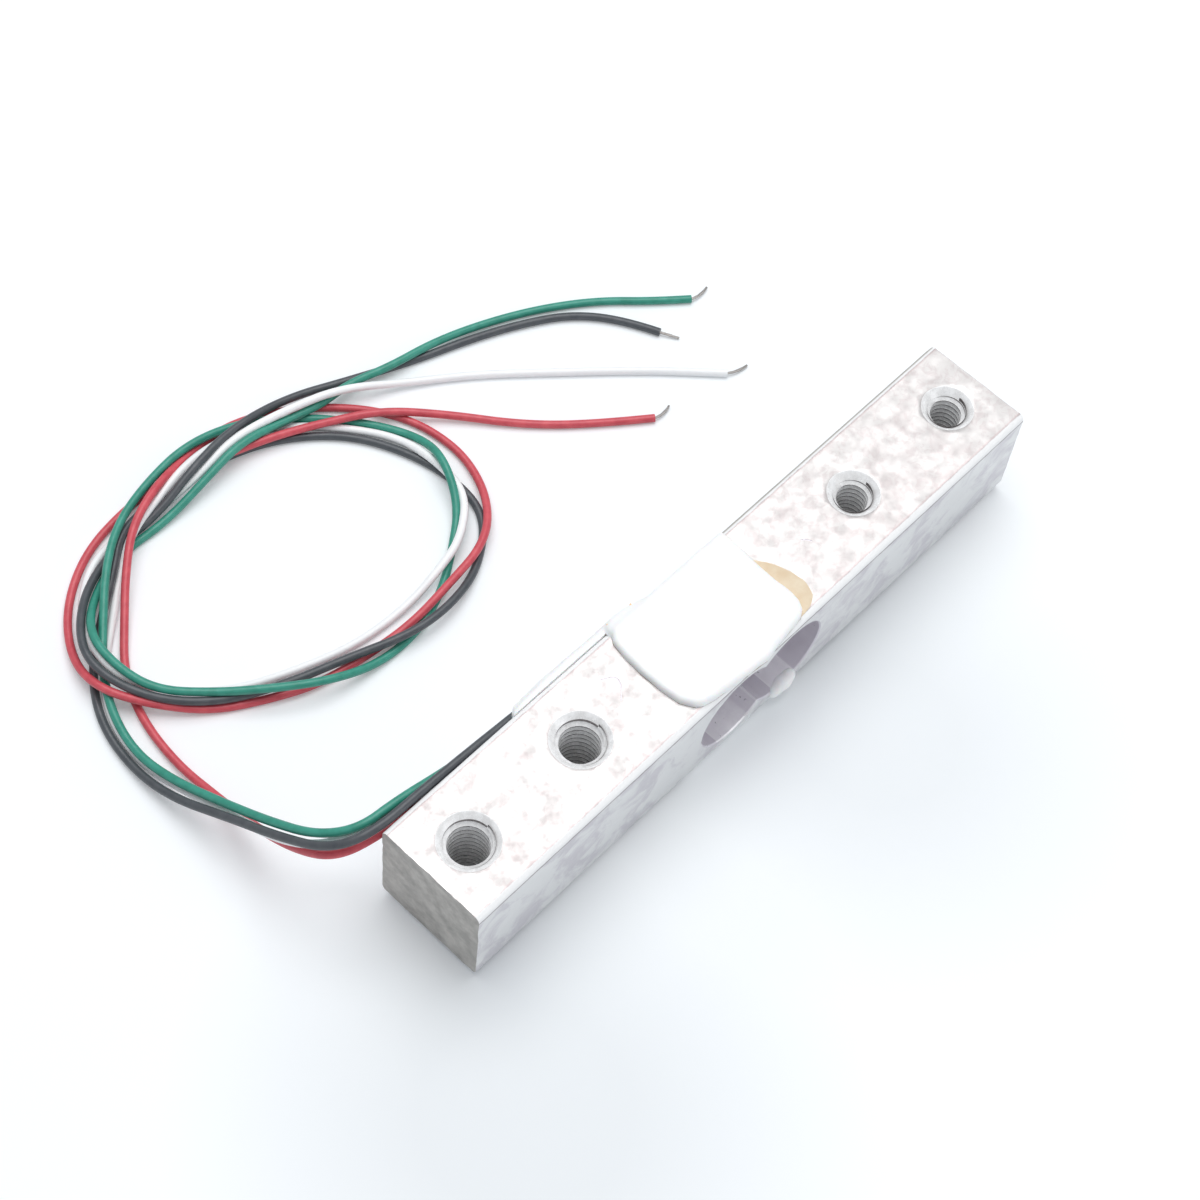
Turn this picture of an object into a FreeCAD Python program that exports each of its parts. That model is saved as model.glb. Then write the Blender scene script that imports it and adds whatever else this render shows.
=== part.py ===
import FreeCAD, Part
import math
import os
import Sketcher

# Bar load cell: a bored aluminium beam, four strain gauges under white sealant, four lead wires.
# X runs from the fixed end to the load end, Y towards the side with the wires, Z up.
# The origin is on the standing surface, below the middle of the beam.

doc = FreeCAD.newDocument("LoadCell")
sheet = doc.addObject("Spreadsheet::Sheet", "Sizes")

sizes = [
    # aluminium beam
    ("beam_length", 80.0),
    ("beam_width", 12.7),
    ("beam_height", 12.7),
    ("edge_round", 0.3),
    ("bore_radius", 5.0),
    ("bore_offset", 3.75),
    ("hole_end_gap", 5.0),
    ("hole_spacing", 15.0),
    ("fixed_drill", 4.2),
    ("fixed_sink", 6.0),
    ("load_drill", 3.3),
    ("load_sink", 5.3),
    # sealant: patch on top, strip along the back, pad below that the cell stands on
    ("patch_start", -10.75),
    ("patch_length", 17.1),
    ("patch_margin", 0.2),
    ("patch_height", 0.9),
    ("patch_corner", 2.0),
    ("patch_dome", 0.5),
    ("pad_height", 0.8),
    ("pad_round", 0.3),
    ("strip_start", -22.9),
    ("strip_length", 22.2),
    ("strip_depth", 2.55),
    ("strip_end_depth", 0.6),
    ("strip_margin", 0.65),
    ("strip_taper", 2.4),
    ("wrap_start", -9.9),
    ("wrap_length", 5.0),
    ("wrap_inset", 1.3),
    ("wrap_drop", 1.0),
    ("wrap_depth", 1.0),
    ("wrap_round", 1.5),
    # strain gauges and the adhesive under them
    ("film_start", -9.5),
    ("film_length", 17.95),
    ("film_front", -6.0),
    ("film_width", 8.2),
    ("film_corner", 3.8),
    ("film_height", 0.06),
    ("carrier_width", 4.2),
    ("carrier_height", 0.1),
    ("carrier_border", 0.4),
    ("gauge_side", -1.9),
    ("foil_height", 0.04),
    ("strand_length", 3.2),
    ("strand_width", 0.2),
    ("strand_pitch", 0.36),
    ("strand_count", 6),
    ("tab_length", 1.1),
    ("tab_width", 0.7),
    # terminal board on the back face
    ("board_start", -17.0),
    ("board_length", 8.1),
    ("board_height", 5.0),
    ("board_middle", 1.8),
    ("board_depth", 0.3),
    ("copper_depth", 0.05),
    ("wire_copper_start", -16.85),
    ("wire_copper_length", 1.5),
    ("wire_copper_height", 0.7),
    ("lead_copper_width", 0.7),
    ("lead_copper_height", 1.4),
    ("lead_copper_start", -13.3),
    ("lead_copper_pitch", 1.1),
    # gauge leads and solder
    ("lead_width", 0.12),
    ("lead_row", 1.2),
    ("lead_crossing", -9.2),
    ("lead_turn", 1.2),
    ("lead_pitch", 0.5),
    ("lead_sidestep", 0.9),
    ("lead_end_gap", 0.25),
    ("lead_seat", 0.02),
    ("wire_solder", 0.34),
    ("lead_solder", 0.34),
    ("tab_solder", 0.3),
    ("solder_height", 0.42),
    # lead wires
    ("wire_diameter", 0.9),
    ("core_diameter", 0.35),
    ("core_length", 1.9),
    ("core_seat", 0.025),
    ("bare_run", 0.8),
]
for row, (alias, value) in enumerate(sizes, start=1):
    sheet.set("A%d" % row, alias)
    sheet.set("B%d" % row, "%g" % value)
    sheet.setAlias("B%d" % row, alias)
doc.recompute()
size = {alias: float(sheet.get(alias)) for alias, value in sizes}

# Heights and faces that many rules share, from the middle of the beam.
beamTop = "Sizes.beam_height / 2"
beamBack = "Sizes.beam_width / 2"
lift = "Sizes.pad_height + Sizes.beam_height / 2"
middle = size["pad_height"] + size["beam_height"] / 2

# Centre lines of the four lead wires, from the terminal board to the stripped ends.
routes = {
    "black": [
        (-17.1, 6.9, 10.75), (-25.5, 6.9, 12), (-34, 6.92, 12.9), (-40.5, 6.9, 13.1), (-44.2, 9, 11.8),
        (-45.6, 14.2, 8.6), (-46.7, 20.5, 5.2), (-48.2, 27, 2), (-48.5, 32.6, 0.6), (-47.45, 38.6, 0.45),
        (-44.5, 43.55, 0.45), (-40.3, 47.2, 0.45), (-35.65, 50.3, 1.6), (-31.3, 54, 1.65), (-25, 54.5, 0.45),
        (-18, 54.1, 0.45), (-11.5, 51.6, 0.45), (-6, 47, 0.45), (-2.9, 41, 0.45), (-1.7, 35, 0.45),
        (-2.5, 29.5, 0.45), (-7.5, 25.5, 0.5), (-13, 23.8, 1.6), (-18.6, 24.05, 1.85), (-25, 26.7, 1.4),
        (-31.5, 28.9, 1.3), (-37.5, 31.9, 1.3), (-42.1, 36, 2.2), (-44.4, 41.3, 2.9), (-43.8, 45.85, 2.85),
        (-39.35, 50.65, 1.6), (-33.2, 53.25, 0.5), (-27.25, 52.9, 1.15), (-21.6, 53.7, 3), (-14.95, 54.85, 2.6),
        (-7.5, 54.5, 1), (-1, 51.9, 0.45), (6, 48.9, 0.45), (12.5, 46.7, 0.45), (18, 44.3, 0.45),
        (23, 41.3, 0.45), (26.6, 36.8, 0.45), (28.3, 32.9, 0.45),
    ],
    "green": [
        (-17.1, 6.9, 9.8), (-25.5, 6.9, 11.05), (-30.5, 7.25, 11.5), (-36.5, 7.95, 12.5), (-41, 8.3, 12.5),
        (-43.8, 11.3, 10.8), (-45, 16.5, 7.8), (-45.9, 22.5, 4.5), (-47, 28.5, 2.2), (-47.35, 33.5, 1.3),
        (-46.1, 38.5, 1.3), (-43.45, 42.95, 1.4), (-40.2, 46.5, 1.9), (-36.2, 50.7, 2.6), (-31.65, 54.2, 2.35),
        (-26, 56.2, 1.9), (-19.35, 57, 1.9), (-12.4, 55.35, 0.8), (-7, 51, 0.45), (-3, 46, 0.45),
        (-0.7, 40.95, 0.8), (-1.85, 36.35, 3), (-4.1, 31.9, 1.2), (-8.3, 28.7, 0.45), (-12.5, 26, 0.45),
        (-17.5, 24.35, 0.45), (-23, 24.4, 0.5), (-28.6, 25.75, 2.4), (-33.35, 29, 2.6), (-37.6, 33.05, 1.9),
        (-41.7, 36.9, 2.6), (-42.9, 41.7, 3.3), (-42.15, 46.4, 3.1), (-37.9, 50.5, 0.6), (-33, 52.35, 0.45),
        (-27, 52, 0.5), (-20.95, 52.35, 1.9), (-15.6, 52.9, 2.6), (-10, 52.2, 1.5), (-5.5, 51.2, 1.3),
        (-1.5, 51.2, 1.2), (3, 49.6, 1.5), (8.9, 48.85, 1.1), (15, 47.2, 0.45), (21, 44.3, 0.45),
        (26.5, 40.6, 0.45), (31, 36.2, 0.45), (34.2, 33.6, 0.45),
    ],
    "white": [
        (-17.1, 6.9, 8.85), (-25.5, 6.9, 10.1), (-32, 7.2, 10.8), (-39.5, 7.9, 11.6), (-43.6, 9.9, 10.3),
        (-45.3, 14, 7.5), (-45.9, 19.5, 4.6), (-46.6, 26, 2), (-47.5, 32, 0.45), (-46.75, 37.6, 0.45),
        (-44, 42.5, 0.45), (-40, 45.9, 0.45), (-35.9, 49.4, 0.45), (-31.1, 52.85, 1.7), (-26.1, 54.15, 1.65),
        (-20.3, 55.25, 2), (-14.6, 55.2, 0.45), (-9.65, 52.05, 0.45), (-5.5, 47.7, 0.45), (-2.35, 42.8, 0.6),
        (-1.9, 37.5, 1.5), (-2.5, 32.35, 1.45), (-6.85, 28.8, 1.6), (-10.6, 27.75, 1.7), (-16, 27.2, 0.5),
        (-23, 27.6, 0.45), (-29.5, 29.7, 0.45), (-35.5, 32.4, 0.45), (-40, 36, 1.1), (-43.15, 40.35, 2.4),
        (-42.95, 45.05, 2.4), (-40.1, 50.55, 0.45), (-34.7, 54.1, 0.45), (-27.5, 53.6, 0.45), (-21.75, 53.2, 1.9),
        (-15.65, 53.9, 2.5), (-9, 52.6, 2.4), (-3.1, 50.75, 2.3), (3, 47.5, 0.6), (9.5, 43, 0.45),
        (16, 37.2, 0.45), (22.5, 31.3, 0.45), (26.5, 27.3, 0.45), (29.6, 24, 0.45),
    ],
    "red": [
        (-17.1, 6.9, 7.9), (-25.5, 6.9, 9.15), (-33, 6.9, 10), (-39.5, 6.9, 11.3), (-43.8, 8.4, 10.4),
        (-45, 12.45, 7.4), (-45.2, 18.2, 4), (-44.9, 24, 1.5), (-45.1, 30, 0.6), (-44.2, 36.3, 0.45),
        (-41.9, 41.6, 0.45), (-38.3, 45.6, 0.9), (-34.65, 49.4, 2.1), (-30.7, 52.8, 2.75), (-25.7, 54.9, 2.7),
        (-19.7, 56.45, 0.8), (-14.2, 56.65, 0.45), (-8.35, 53.8, 0.45), (-4, 50, 0.45), (-0.9, 46, 0.45),
        (0.9, 41.5, 0.45), (1.2, 36, 0.45), (-1.2, 30.3, 0.9), (-5.5, 26.6, 1.6), (-12.1, 25.65, 1.6),
        (-17.6, 25.25, 0.95), (-23.5, 26, 0.45), (-29, 27, 0.45), (-34, 29.4, 0.45), (-38.7, 32.3, 0.45),
        (-42.65, 36.3, 1.6), (-45.5, 40.85, 2.5), (-44.9, 46, 0.9), (-41.35, 51.15, 0.45), (-35.65, 54.85, 0.45),
        (-29.05, 56.1, 0.45), (-22.6, 55.85, 0.65), (-17.05, 53.15, 1.65), (-11.9, 51.65, 1.3), (-6.5, 48.9, 1.45),
        (-1.55, 46, 1.55), (3.4, 41.25, 0.8), (8.5, 34.8, 0.45), (14, 29.6, 0.45), (19.47, 25.5, 0.45),
    ],
}
bareTips = {
    "black": (29.4, 31.0, 0.2),
    "green": (36.8, 33.6, 0.2),
    "white": (32.1, 23.3, 0.2),
    "red": (21.9, 25.6, 0.2),
}


def originPlane(body, role):
    return next(item for item in body.Origin.OriginFeatures if item.Role == role)


def makeBody(label):
    """An empty body whose own origin is the middle of the beam."""
    body = doc.addObject("PartDesign::Body", label)
    body.Label = label
    body.AllowCompound = True
    body.setExpression("Placement.Base.z", lift)
    return body


def makeSketch(body, name, role, offset):
    sketch = body.newObject("Sketcher::SketchObject", name)
    sketch.AttachmentSupport = [(originPlane(body, role), "")]
    sketch.MapMode = "FlatFace"
    sketch.setExpression("AttachmentOffset.Base.z", offset)
    return sketch


def bindPoint(sketch, geometry, vertex, rules):
    """Hold a point of the sketch at the place that two rules give."""
    for kind, rule in zip(("DistanceX", "DistanceY"), rules):
        value = float(sketch.evalExpression(rule))
        index = sketch.addConstraint(Sketcher.Constraint(kind, -1, 1, geometry, vertex, value))
        sketch.setExpression("Constraints[%d]" % index, rule)


def drawRectangle(sketch, low, extent):
    """Rectangle with its low corner and its two side lengths given as rules."""
    x, y = [float(sketch.evalExpression(rule)) for rule in low]
    a, b = [float(sketch.evalExpression(rule)) for rule in extent]
    corners = [FreeCAD.Vector(*p) for p in ((x, y, 0), (x + a, y, 0), (x + a, y + b, 0), (x, y + b, 0))]
    for i in range(4):
        sketch.addGeometry(Part.LineSegment(corners[i], corners[(i + 1) % 4]), False)
    for i in range(4):
        sketch.addConstraint(Sketcher.Constraint("Coincident", i, 2, (i + 1) % 4, 1))
        sketch.addConstraint(Sketcher.Constraint("Vertical" if i % 2 else "Horizontal", i))
    bindPoint(sketch, 0, 1, low)
    for kind, line, value, rule in (("DistanceX", 0, a, extent[0]), ("DistanceY", 1, b, extent[1])):
        index = sketch.addConstraint(Sketcher.Constraint(kind, line, 1, line, 2, value))
        sketch.setExpression("Constraints[%d]" % index, rule)


def drawCircle(sketch, centre, diameter):
    x, y = [float(sketch.evalExpression(rule)) for rule in centre]
    d = float(sketch.evalExpression(diameter))
    circle = Part.Circle(FreeCAD.Vector(x, y, 0), FreeCAD.Vector(0, 0, 1), d / 2)
    geometry = sketch.addGeometry(circle, False)
    bindPoint(sketch, geometry, 3, centre)
    index = sketch.addConstraint(Sketcher.Constraint("Diameter", geometry, d))
    sketch.setExpression("Constraints[%d]" % index, diameter)


def pad(body, name, sketch, length, symmetric=False):
    feature = body.newObject("PartDesign::Pad", name)
    feature.Profile = sketch
    feature.Midplane = symmetric
    feature.setExpression("Length", length)
    doc.recompute()
    return feature


def roundEdges(body, name, base, chosen, radius):
    """Round the edges of the last feature that the test picks out."""
    feature = body.newObject("PartDesign::Fillet", name)
    edges = ["Edge%d" % (i + 1) for i, edge in enumerate(base.Shape.Edges) if chosen(edge)]
    feature.Base = (base, edges)
    feature.setExpression("Radius", radius)
    doc.recompute()
    return feature


def runsAlong(edge, axis):
    """True for a straight edge parallel to an axis, 0 for X, 1 for Y and 2 for Z."""
    if not isinstance(edge.Curve, Part.Line):
        return False
    return abs(abs(edge.tangentAt(edge.FirstParameter)[axis]) - 1) < 1e-6


def block(label, low, extent, corner=None, rim=None, rimSide=1):
    """Body of a padded rectangle, its corners and its top or bottom rim rounded if wanted."""
    body = makeBody(label)
    sketch = makeSketch(body, label + "_outline", "XY_Plane", low[2])
    drawRectangle(sketch, low[:2], extent[:2])
    last = pad(body, label + "_pad", sketch, extent[2])
    if corner:
        last = roundEdges(body, label + "_corners", last, lambda edge: runsAlong(edge, 2), corner)
    if rim:
        box = last.Shape.BoundBox
        level = box.ZMax if rimSide > 0 else box.ZMin
        last = roundEdges(body, label + "_rim", last,
                          lambda edge: abs(edge.BoundBox.ZMin - level) + abs(edge.BoundBox.ZMax - level) < 1e-4,
                          rim)
    return body


def bar(label):
    """The drawn square bar that the beam is cut from."""
    body = makeBody(label)
    sketch = makeSketch(body, label + "_section", "YZ_Plane", "0")
    drawRectangle(sketch, ("-Sizes.beam_width / 2", "-Sizes.beam_height / 2"),
                  ("Sizes.beam_width", "Sizes.beam_height"))
    drawn = pad(body, label + "_length", sketch, "Sizes.beam_length", True)
    roundEdges(body, label + "_edges", drawn, lambda edge: runsAlong(edge, 0), "Sizes.edge_round")
    return body


def countersunkHoles(body, name, places, drill, sink):
    """Holes down through the bar, with a countersink at the top face."""
    sketch = makeSketch(body, name + "_centres", "XY_Plane", beamTop)
    for place in places:
        drawCircle(sketch, (place, "0"), drill)
    doc.recompute()
    hole = body.newObject("PartDesign::Hole", name)
    hole.Profile = sketch
    doc.recompute()
    hole.ThreadType = 0
    hole.setExpression("Diameter", drill)
    hole.DepthType = "ThroughAll"
    hole.HoleCutType = "Countersink"
    hole.setExpression("HoleCutDiameter", sink)
    hole.HoleCutCountersinkAngle = 90
    doc.recompute()
    return hole


def mirror(body, name, features, role):
    """The same features on the other side of one of the body's own planes."""
    feature = body.newObject("PartDesign::Mirrored", name)
    feature.Originals = features
    feature.MirrorPlane = (originPlane(body, role), [""])
    body.Tip = feature
    doc.recompute()
    return feature


def makeBeam():
    body = bar("beam")
    sketch = makeSketch(body, "bore_circle", "XZ_Plane", "0")
    drawCircle(sketch, ("-Sizes.bore_offset", "0"), "2 * Sizes.bore_radius")
    bore = body.newObject("PartDesign::Pocket", "bore")
    bore.Profile = sketch
    bore.Midplane = True
    bore.setExpression("Length", "2 * Sizes.beam_width")
    doc.recompute()
    mirror(body, "second_bore", [bore], "YZ_Plane")
    outer = "(Sizes.beam_length / 2 - Sizes.hole_end_gap)"
    inner = "(Sizes.beam_length / 2 - Sizes.hole_end_gap - Sizes.hole_spacing)"
    fixed = countersunkHoles(body, "fixed_holes", ["-" + outer, "-" + inner],
                             "Sizes.fixed_drill", "Sizes.fixed_sink")
    load = countersunkHoles(body, "load_holes", [inner, outer], "Sizes.load_drill", "Sizes.load_sink")
    mirror(body, "sinks_below", [fixed, load], "XY_Plane")
    return body


def makeFilm(label, side):
    """Thin spread of adhesive that the two gauges of one face are bonded with."""
    level = beamTop if side > 0 else "-Sizes.beam_height / 2 - Sizes.film_height"
    return block(label, ("Sizes.film_start", "Sizes.film_front", level),
                 ("Sizes.film_length", "Sizes.film_width", "Sizes.film_height"), "Sizes.film_corner")


def gaugeCentre(end):
    return "%d * Sizes.bore_offset" % end


def makeCarrier(label, side, end):
    """Backing film of one gauge, over the thin web of one bore."""
    start = "%s - Sizes.strand_length / 2 - Sizes.tab_length - Sizes.carrier_border" % gaugeCentre(end)
    length = "Sizes.strand_length + Sizes.tab_length + 2 * Sizes.carrier_border"
    under = "(Sizes.beam_height / 2 + Sizes.film_height)"
    level = under if side > 0 else "-%s - Sizes.carrier_height" % under
    return block(label, (start, "Sizes.gauge_side - Sizes.carrier_width / 2", level),
                 (length, "Sizes.carrier_width", "Sizes.carrier_height"))


def repeatAcross(body, name, feature, sketch, pitch, count):
    """Copies of a feature side by side across the grid."""
    pattern = body.newObject("PartDesign::LinearPattern", name)
    pattern.Originals = [feature]
    pattern.Direction = (sketch, ["V_Axis"])
    pattern.setExpression("Length", "%s * (%s - 1)" % (pitch, count))
    pattern.setExpression("Occurrences", count)
    body.Tip = pattern
    doc.recompute()
    return pattern


def makeGrid(label, side, end):
    """Etched foil of one gauge: strands joined in turn at their ends, and two solder tabs."""
    body = makeBody(label)
    under = "(Sizes.beam_height / 2 + Sizes.film_height + Sizes.carrier_height)"
    level = under if side > 0 else "-%s - Sizes.foil_height" % under
    low = "(%s - Sizes.strand_length / 2)" % gaugeCentre(end)
    high = "(%s + Sizes.strand_length / 2 - Sizes.strand_width)" % gaugeCentre(end)
    firstRow = "(Sizes.gauge_side - (Sizes.strand_pitch * (Sizes.strand_count - 1) + Sizes.strand_width) / 2)"
    lastRow = "(%s + Sizes.strand_pitch * (Sizes.strand_count - 1))" % firstRow
    joint = "(Sizes.strand_pitch + Sizes.strand_width)"
    pieces = [
        ("strand", (low, firstRow), ("Sizes.strand_length", "Sizes.strand_width"),
         "Sizes.strand_pitch", "Sizes.strand_count"),
        ("far_turn", (high, firstRow), ("Sizes.strand_width", joint),
         "2 * Sizes.strand_pitch", "Sizes.strand_count / 2"),
        ("near_turn", (low, firstRow + " + Sizes.strand_pitch"), ("Sizes.strand_width", joint),
         "2 * Sizes.strand_pitch", "Sizes.strand_count / 2 - 1"),
    ]
    for name, corner, extent, pitch, count in pieces:
        sketch = makeSketch(body, "%s_%s_outline" % (label, name), "XY_Plane", level)
        drawRectangle(sketch, corner, extent)
        piece = pad(body, "%s_%s" % (label, name), sketch, "Sizes.foil_height")
        repeatAcross(body, "%s_%s_row" % (label, name), piece, sketch, pitch, count)
    tabs = [
        ("low_tab", firstRow + " + Sizes.strand_width - Sizes.tab_width"),
        ("high_tab", lastRow),
    ]
    for name, row in tabs:
        sketch = makeSketch(body, "%s_%s_outline" % (label, name), "XY_Plane", level)
        drawRectangle(sketch, (low + " - Sizes.tab_length", row), ("Sizes.tab_length", "Sizes.tab_width"))
        body.Tip = pad(body, "%s_%s" % (label, name), sketch, "Sizes.foil_height")
    return body


def makeBox(label, low, extent):
    """Plain box, its low corner measured from the middle of the beam."""
    box = doc.addObject("Part::Box", label)
    for axis, rule in zip("xyz", (low[0], low[1], "%s + %s" % (lift, low[2]))):
        box.setExpression("Placement.Base." + axis, rule)
    for edge, rule in zip(("Length", "Width", "Height"), extent):
        box.setExpression(edge, rule)
    return box


def group(label, members):
    compound = doc.addObject("Part::Compound", label)
    compound.Links = members
    return compound


def fuse(label, members):
    joined = doc.addObject("Part::MultiFuse", label)
    joined.Shapes = members
    return joined


def cut(label, base, tools):
    """The base with the space that the tools take left out."""
    result = doc.addObject("Part::Cut", label)
    result.Base = base
    result.Tool = tools[0] if len(tools) == 1 else fuse(label + "_space", tools)
    return result


def path(points):
    """Straight runs joined by tangent arcs, each as large as its two runs allow."""
    points = [FreeCAD.Vector(*point) for point in points]
    edges = []
    radii = []
    start = points[0]
    for before, corner, after in zip(points, points[1:], points[2:]):
        back = (before - corner).normalize()
        ahead = (after - corner).normalize()
        turn = math.pi - back.getAngle(ahead)
        shorter = min((before - corner).Length, (after - corner).Length)
        radius = 0.45 * shorter / math.tan(turn / 2)
        tangent = radius * math.tan(turn / 2)
        enter = corner + back * tangent
        leave = corner + ahead * tangent
        inward = (back + ahead).normalize()
        centre = corner + inward * (radius / math.cos(turn / 2))
        edges.append(Part.LineSegment(start, enter).toShape())
        edges.append(Part.Arc(enter, centre - inward * radius, leave).toShape())
        radii.append(radius)
        start = leave
    edges.append(Part.LineSegment(start, points[-1]).toShape())
    return Part.Wire(edges), radii


def sweep(wire, diameter):
    """Solid round tube along a path."""
    first = wire.Edges[0]
    at = first.valueAt(first.FirstParameter)
    along = first.tangentAt(first.FirstParameter)
    section = Part.Wire([Part.Circle(at, along, diameter / 2).toShape()])
    return wire.makePipeShell([section], True, False)


def makeCord(label, points, diameter):
    """Round tube along a route, with its length and its smallest bend printed."""
    wire, radii = path(points)
    feature = doc.addObject("Part::Feature", label)
    feature.Shape = sweep(wire, diameter)
    expected = math.pi * diameter ** 2 / 4 * wire.Length
    if abs(feature.Shape.Volume / expected - 1) > 0.01:
        raise RuntimeError("%s: the tube's volume doesn't match its length" % label)
    print("%s: %.1f mm long, smallest bend %.1f mm" % (label, wire.Length, min(radii)))
    return feature


def makeLeads(label, side):
    """The four square ribbon leads of one face, bent sharply where they turn."""
    half = size["lead_width"] / 2
    mitred = 1
    solids = []
    for points in leadRoutes(side):
        first, second = [FreeCAD.Vector(*point) for point in points[:2]]
        along = (second - first).normalize()
        across = along.cross(FreeCAD.Vector(0, 0, 1)) * half
        up = FreeCAD.Vector(0, 0, half)
        corners = [first - across - up, first + across - up, first + across + up, first - across + up]
        section = Part.makePolygon(corners + corners[:1])
        wire = Part.makePolygon([FreeCAD.Vector(*point) for point in points])
        solids.append(wire.makePipeShell([section], True, False, mitred))
    feature = doc.addObject("Part::Feature", label)
    feature.Shape = Part.makeCompound(solids)
    return feature


def copperFace():
    """Where the pads' outer faces lie, from the middle of the beam."""
    return size["beam_width"] / 2 + size["board_depth"] + size["copper_depth"]


def leadRoutes(side):
    """Enamelled leads of one face: from the gauge tabs, over the back edge, to the board."""
    surface = size["beam_height"] / 2 + size["film_height"] + size["carrier_height"] + size["foil_height"]
    over = middle + side * (surface + size["lead_seat"] + size["lead_width"] / 2)
    beside = copperFace() + size["lead_seat"] + size["lead_width"] / 2
    end = middle + size["board_middle"] + side * size["lead_end_gap"]
    spread = (size["strand_pitch"] * (size["strand_count"] - 1) - size["strand_width"]) / 2 + size["tab_width"] / 2
    found = []
    for gauge in (-1, 1):
        tab = gauge * size["bore_offset"] - size["strand_length"] / 2 - size["tab_length"] / 2
        for row, sidestep in ((-1, size["lead_sidestep"]), (1, 0)):
            rank = len(found)
            y = size["gauge_side"] + row * spread
            level = size["lead_row"] + rank * size["lead_pitch"]
            crossing = size["lead_crossing"] + rank * size["lead_copper_pitch"]
            copper = size["lead_copper_start"] + rank * size["lead_copper_pitch"]
            turn = size["beam_height"] / 2 - size["lead_turn"] - rank * size["lead_pitch"]
            turn = middle + side * turn
            points = [(tab, y, over)]
            if sidestep:
                points.append((tab - sidestep, y, over))
            points += [(tab - sidestep, level, over), (crossing, level, over), (crossing, beside, over),
                       (crossing, beside, turn), (copper, beside, turn), (copper, beside, end)]
            found.append(points)
    return found


def copperCentres():
    """Middle of each pad on the board: four for the wires in a column, four for the leads in a row."""
    wireX = size["wire_copper_start"] + size["wire_copper_length"] / 2
    wires = [(wireX, coreAt(name, wireX)) for name in routes]
    leads = [(size["lead_copper_start"] + i * size["lead_copper_pitch"], middle + size["board_middle"])
             for i in range(4)]
    return wires, leads


def coreAt(name, x):
    """Height of a wire's core where it lies on the board."""
    first, second = routes[name][:2]
    return first[2] + (x - first[0]) * (first[2] - second[2]) / (first[0] - second[0])


def makeCopper():
    wires, leads = copperCentres()
    pads = []
    for centres, length, height in ((wires, "wire_copper_length", "wire_copper_height"),
                                    (leads, "lead_copper_width", "lead_copper_height")):
        for x, z in centres:
            pads.append(makeBox("copper_pad_%d" % len(pads),
                                ("%g - Sizes.%s / 2" % (x, length), beamBack + " + Sizes.board_depth",
                                 "%g - Sizes.%s / 2" % (z - middle, height)),
                                ("Sizes." + length, "Sizes.copper_depth", "Sizes." + height)))
    return group("terminal_pads", pads)


def makeDrop(label, foot, radius, outward):
    """Mound of solder that stands on a pad or a tab, eight-sided to stay light."""
    drop = doc.addObject("Part::Prism", label)
    drop.Polygon = 8
    drop.setExpression("Circumradius", radius)
    drop.setExpression("Height", "Sizes.solder_height")
    turned = FreeCAD.Rotation(FreeCAD.Vector(0, 0, 1), FreeCAD.Vector(*outward))
    drop.Placement = FreeCAD.Placement(FreeCAD.Vector(*foot), turned)
    return drop


def makeTerminalSolder(tools):
    wirePads, leadPads = copperCentres()
    drops = []
    for centres, radius in ((wirePads, "Sizes.wire_solder"), (leadPads, "Sizes.lead_solder")):
        for x, z in centres:
            drops.append(makeDrop("pad_drop_%d" % len(drops), (x, copperFace(), z), radius, (0, 1, 0)))
    return cut("terminal_solder", group("pad_drops", drops), tools)


def makeGaugeSolder(leadSets):
    drops = []
    for side in leadSets:
        for points in leadRoutes(side):
            x, y, z = points[0]
            foot = (x, y, z - side * (size["lead_seat"] + size["lead_width"] / 2))
            drops.append(makeDrop("tab_drop_%d" % len(drops), foot, "Sizes.tab_solder", (0, 0, side)))
    return cut("gauge_solder", group("tab_drops", drops), list(leadSets.values()))


def stripSection(body, name, x, depth):
    """Cross-section of the sealant strip: flat on the beam, a shallow arc outside."""
    sketch = makeSketch(body, name, "YZ_Plane", x)
    half = "(Sizes.beam_height / 2 - Sizes.strip_margin)"
    y = float(sketch.evalExpression(beamBack))
    z = float(sketch.evalExpression(half))
    bulge = float(sketch.evalExpression(depth))
    low = FreeCAD.Vector(y, -z, 0)
    high = FreeCAD.Vector(y, z, 0)
    sketch.addGeometry(Part.LineSegment(high, low), False)
    sketch.addGeometry(Part.Arc(low, FreeCAD.Vector(y + bulge, 0, 0), high), False)
    sketch.addConstraint(Sketcher.Constraint("Coincident", 0, 2, 1, 1))
    sketch.addConstraint(Sketcher.Constraint("Coincident", 0, 1, 1, 2))
    bindPoint(sketch, 0, 1, (beamBack, half))
    bindPoint(sketch, 0, 2, (beamBack, "-" + half))
    radius = "(%s ^ 2 + %s ^ 2) / (2 * %s)" % (half, depth, depth)
    value = (z * z + bulge * bulge) / (2 * bulge)
    index = sketch.addConstraint(Sketcher.Constraint("Radius", 1, value))
    sketch.setExpression("Constraints[%d]" % index, radius)
    return sketch


def makeStrip():
    """Bead of sealant along the back face, thinner at both ends."""
    body = makeBody("strip_form")
    end = "(Sizes.strip_start + Sizes.strip_length)"
    stations = [
        ("Sizes.strip_start", "Sizes.strip_end_depth"),
        ("Sizes.strip_start + Sizes.strip_taper", "Sizes.strip_depth"),
        (end + " - Sizes.strip_taper", "Sizes.strip_depth"),
        (end, "Sizes.strip_end_depth"),
    ]
    sections = [stripSection(body, "strip_section_%d" % i, x, depth) for i, (x, depth) in enumerate(stations)]
    doc.recompute()
    loft = body.newObject("PartDesign::AdditiveLoft", "strip_loft")
    loft.Profile = sections[0]
    loft.Sections = sections[1:]
    loft.Ruled = True
    doc.recompute()
    return body


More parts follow.
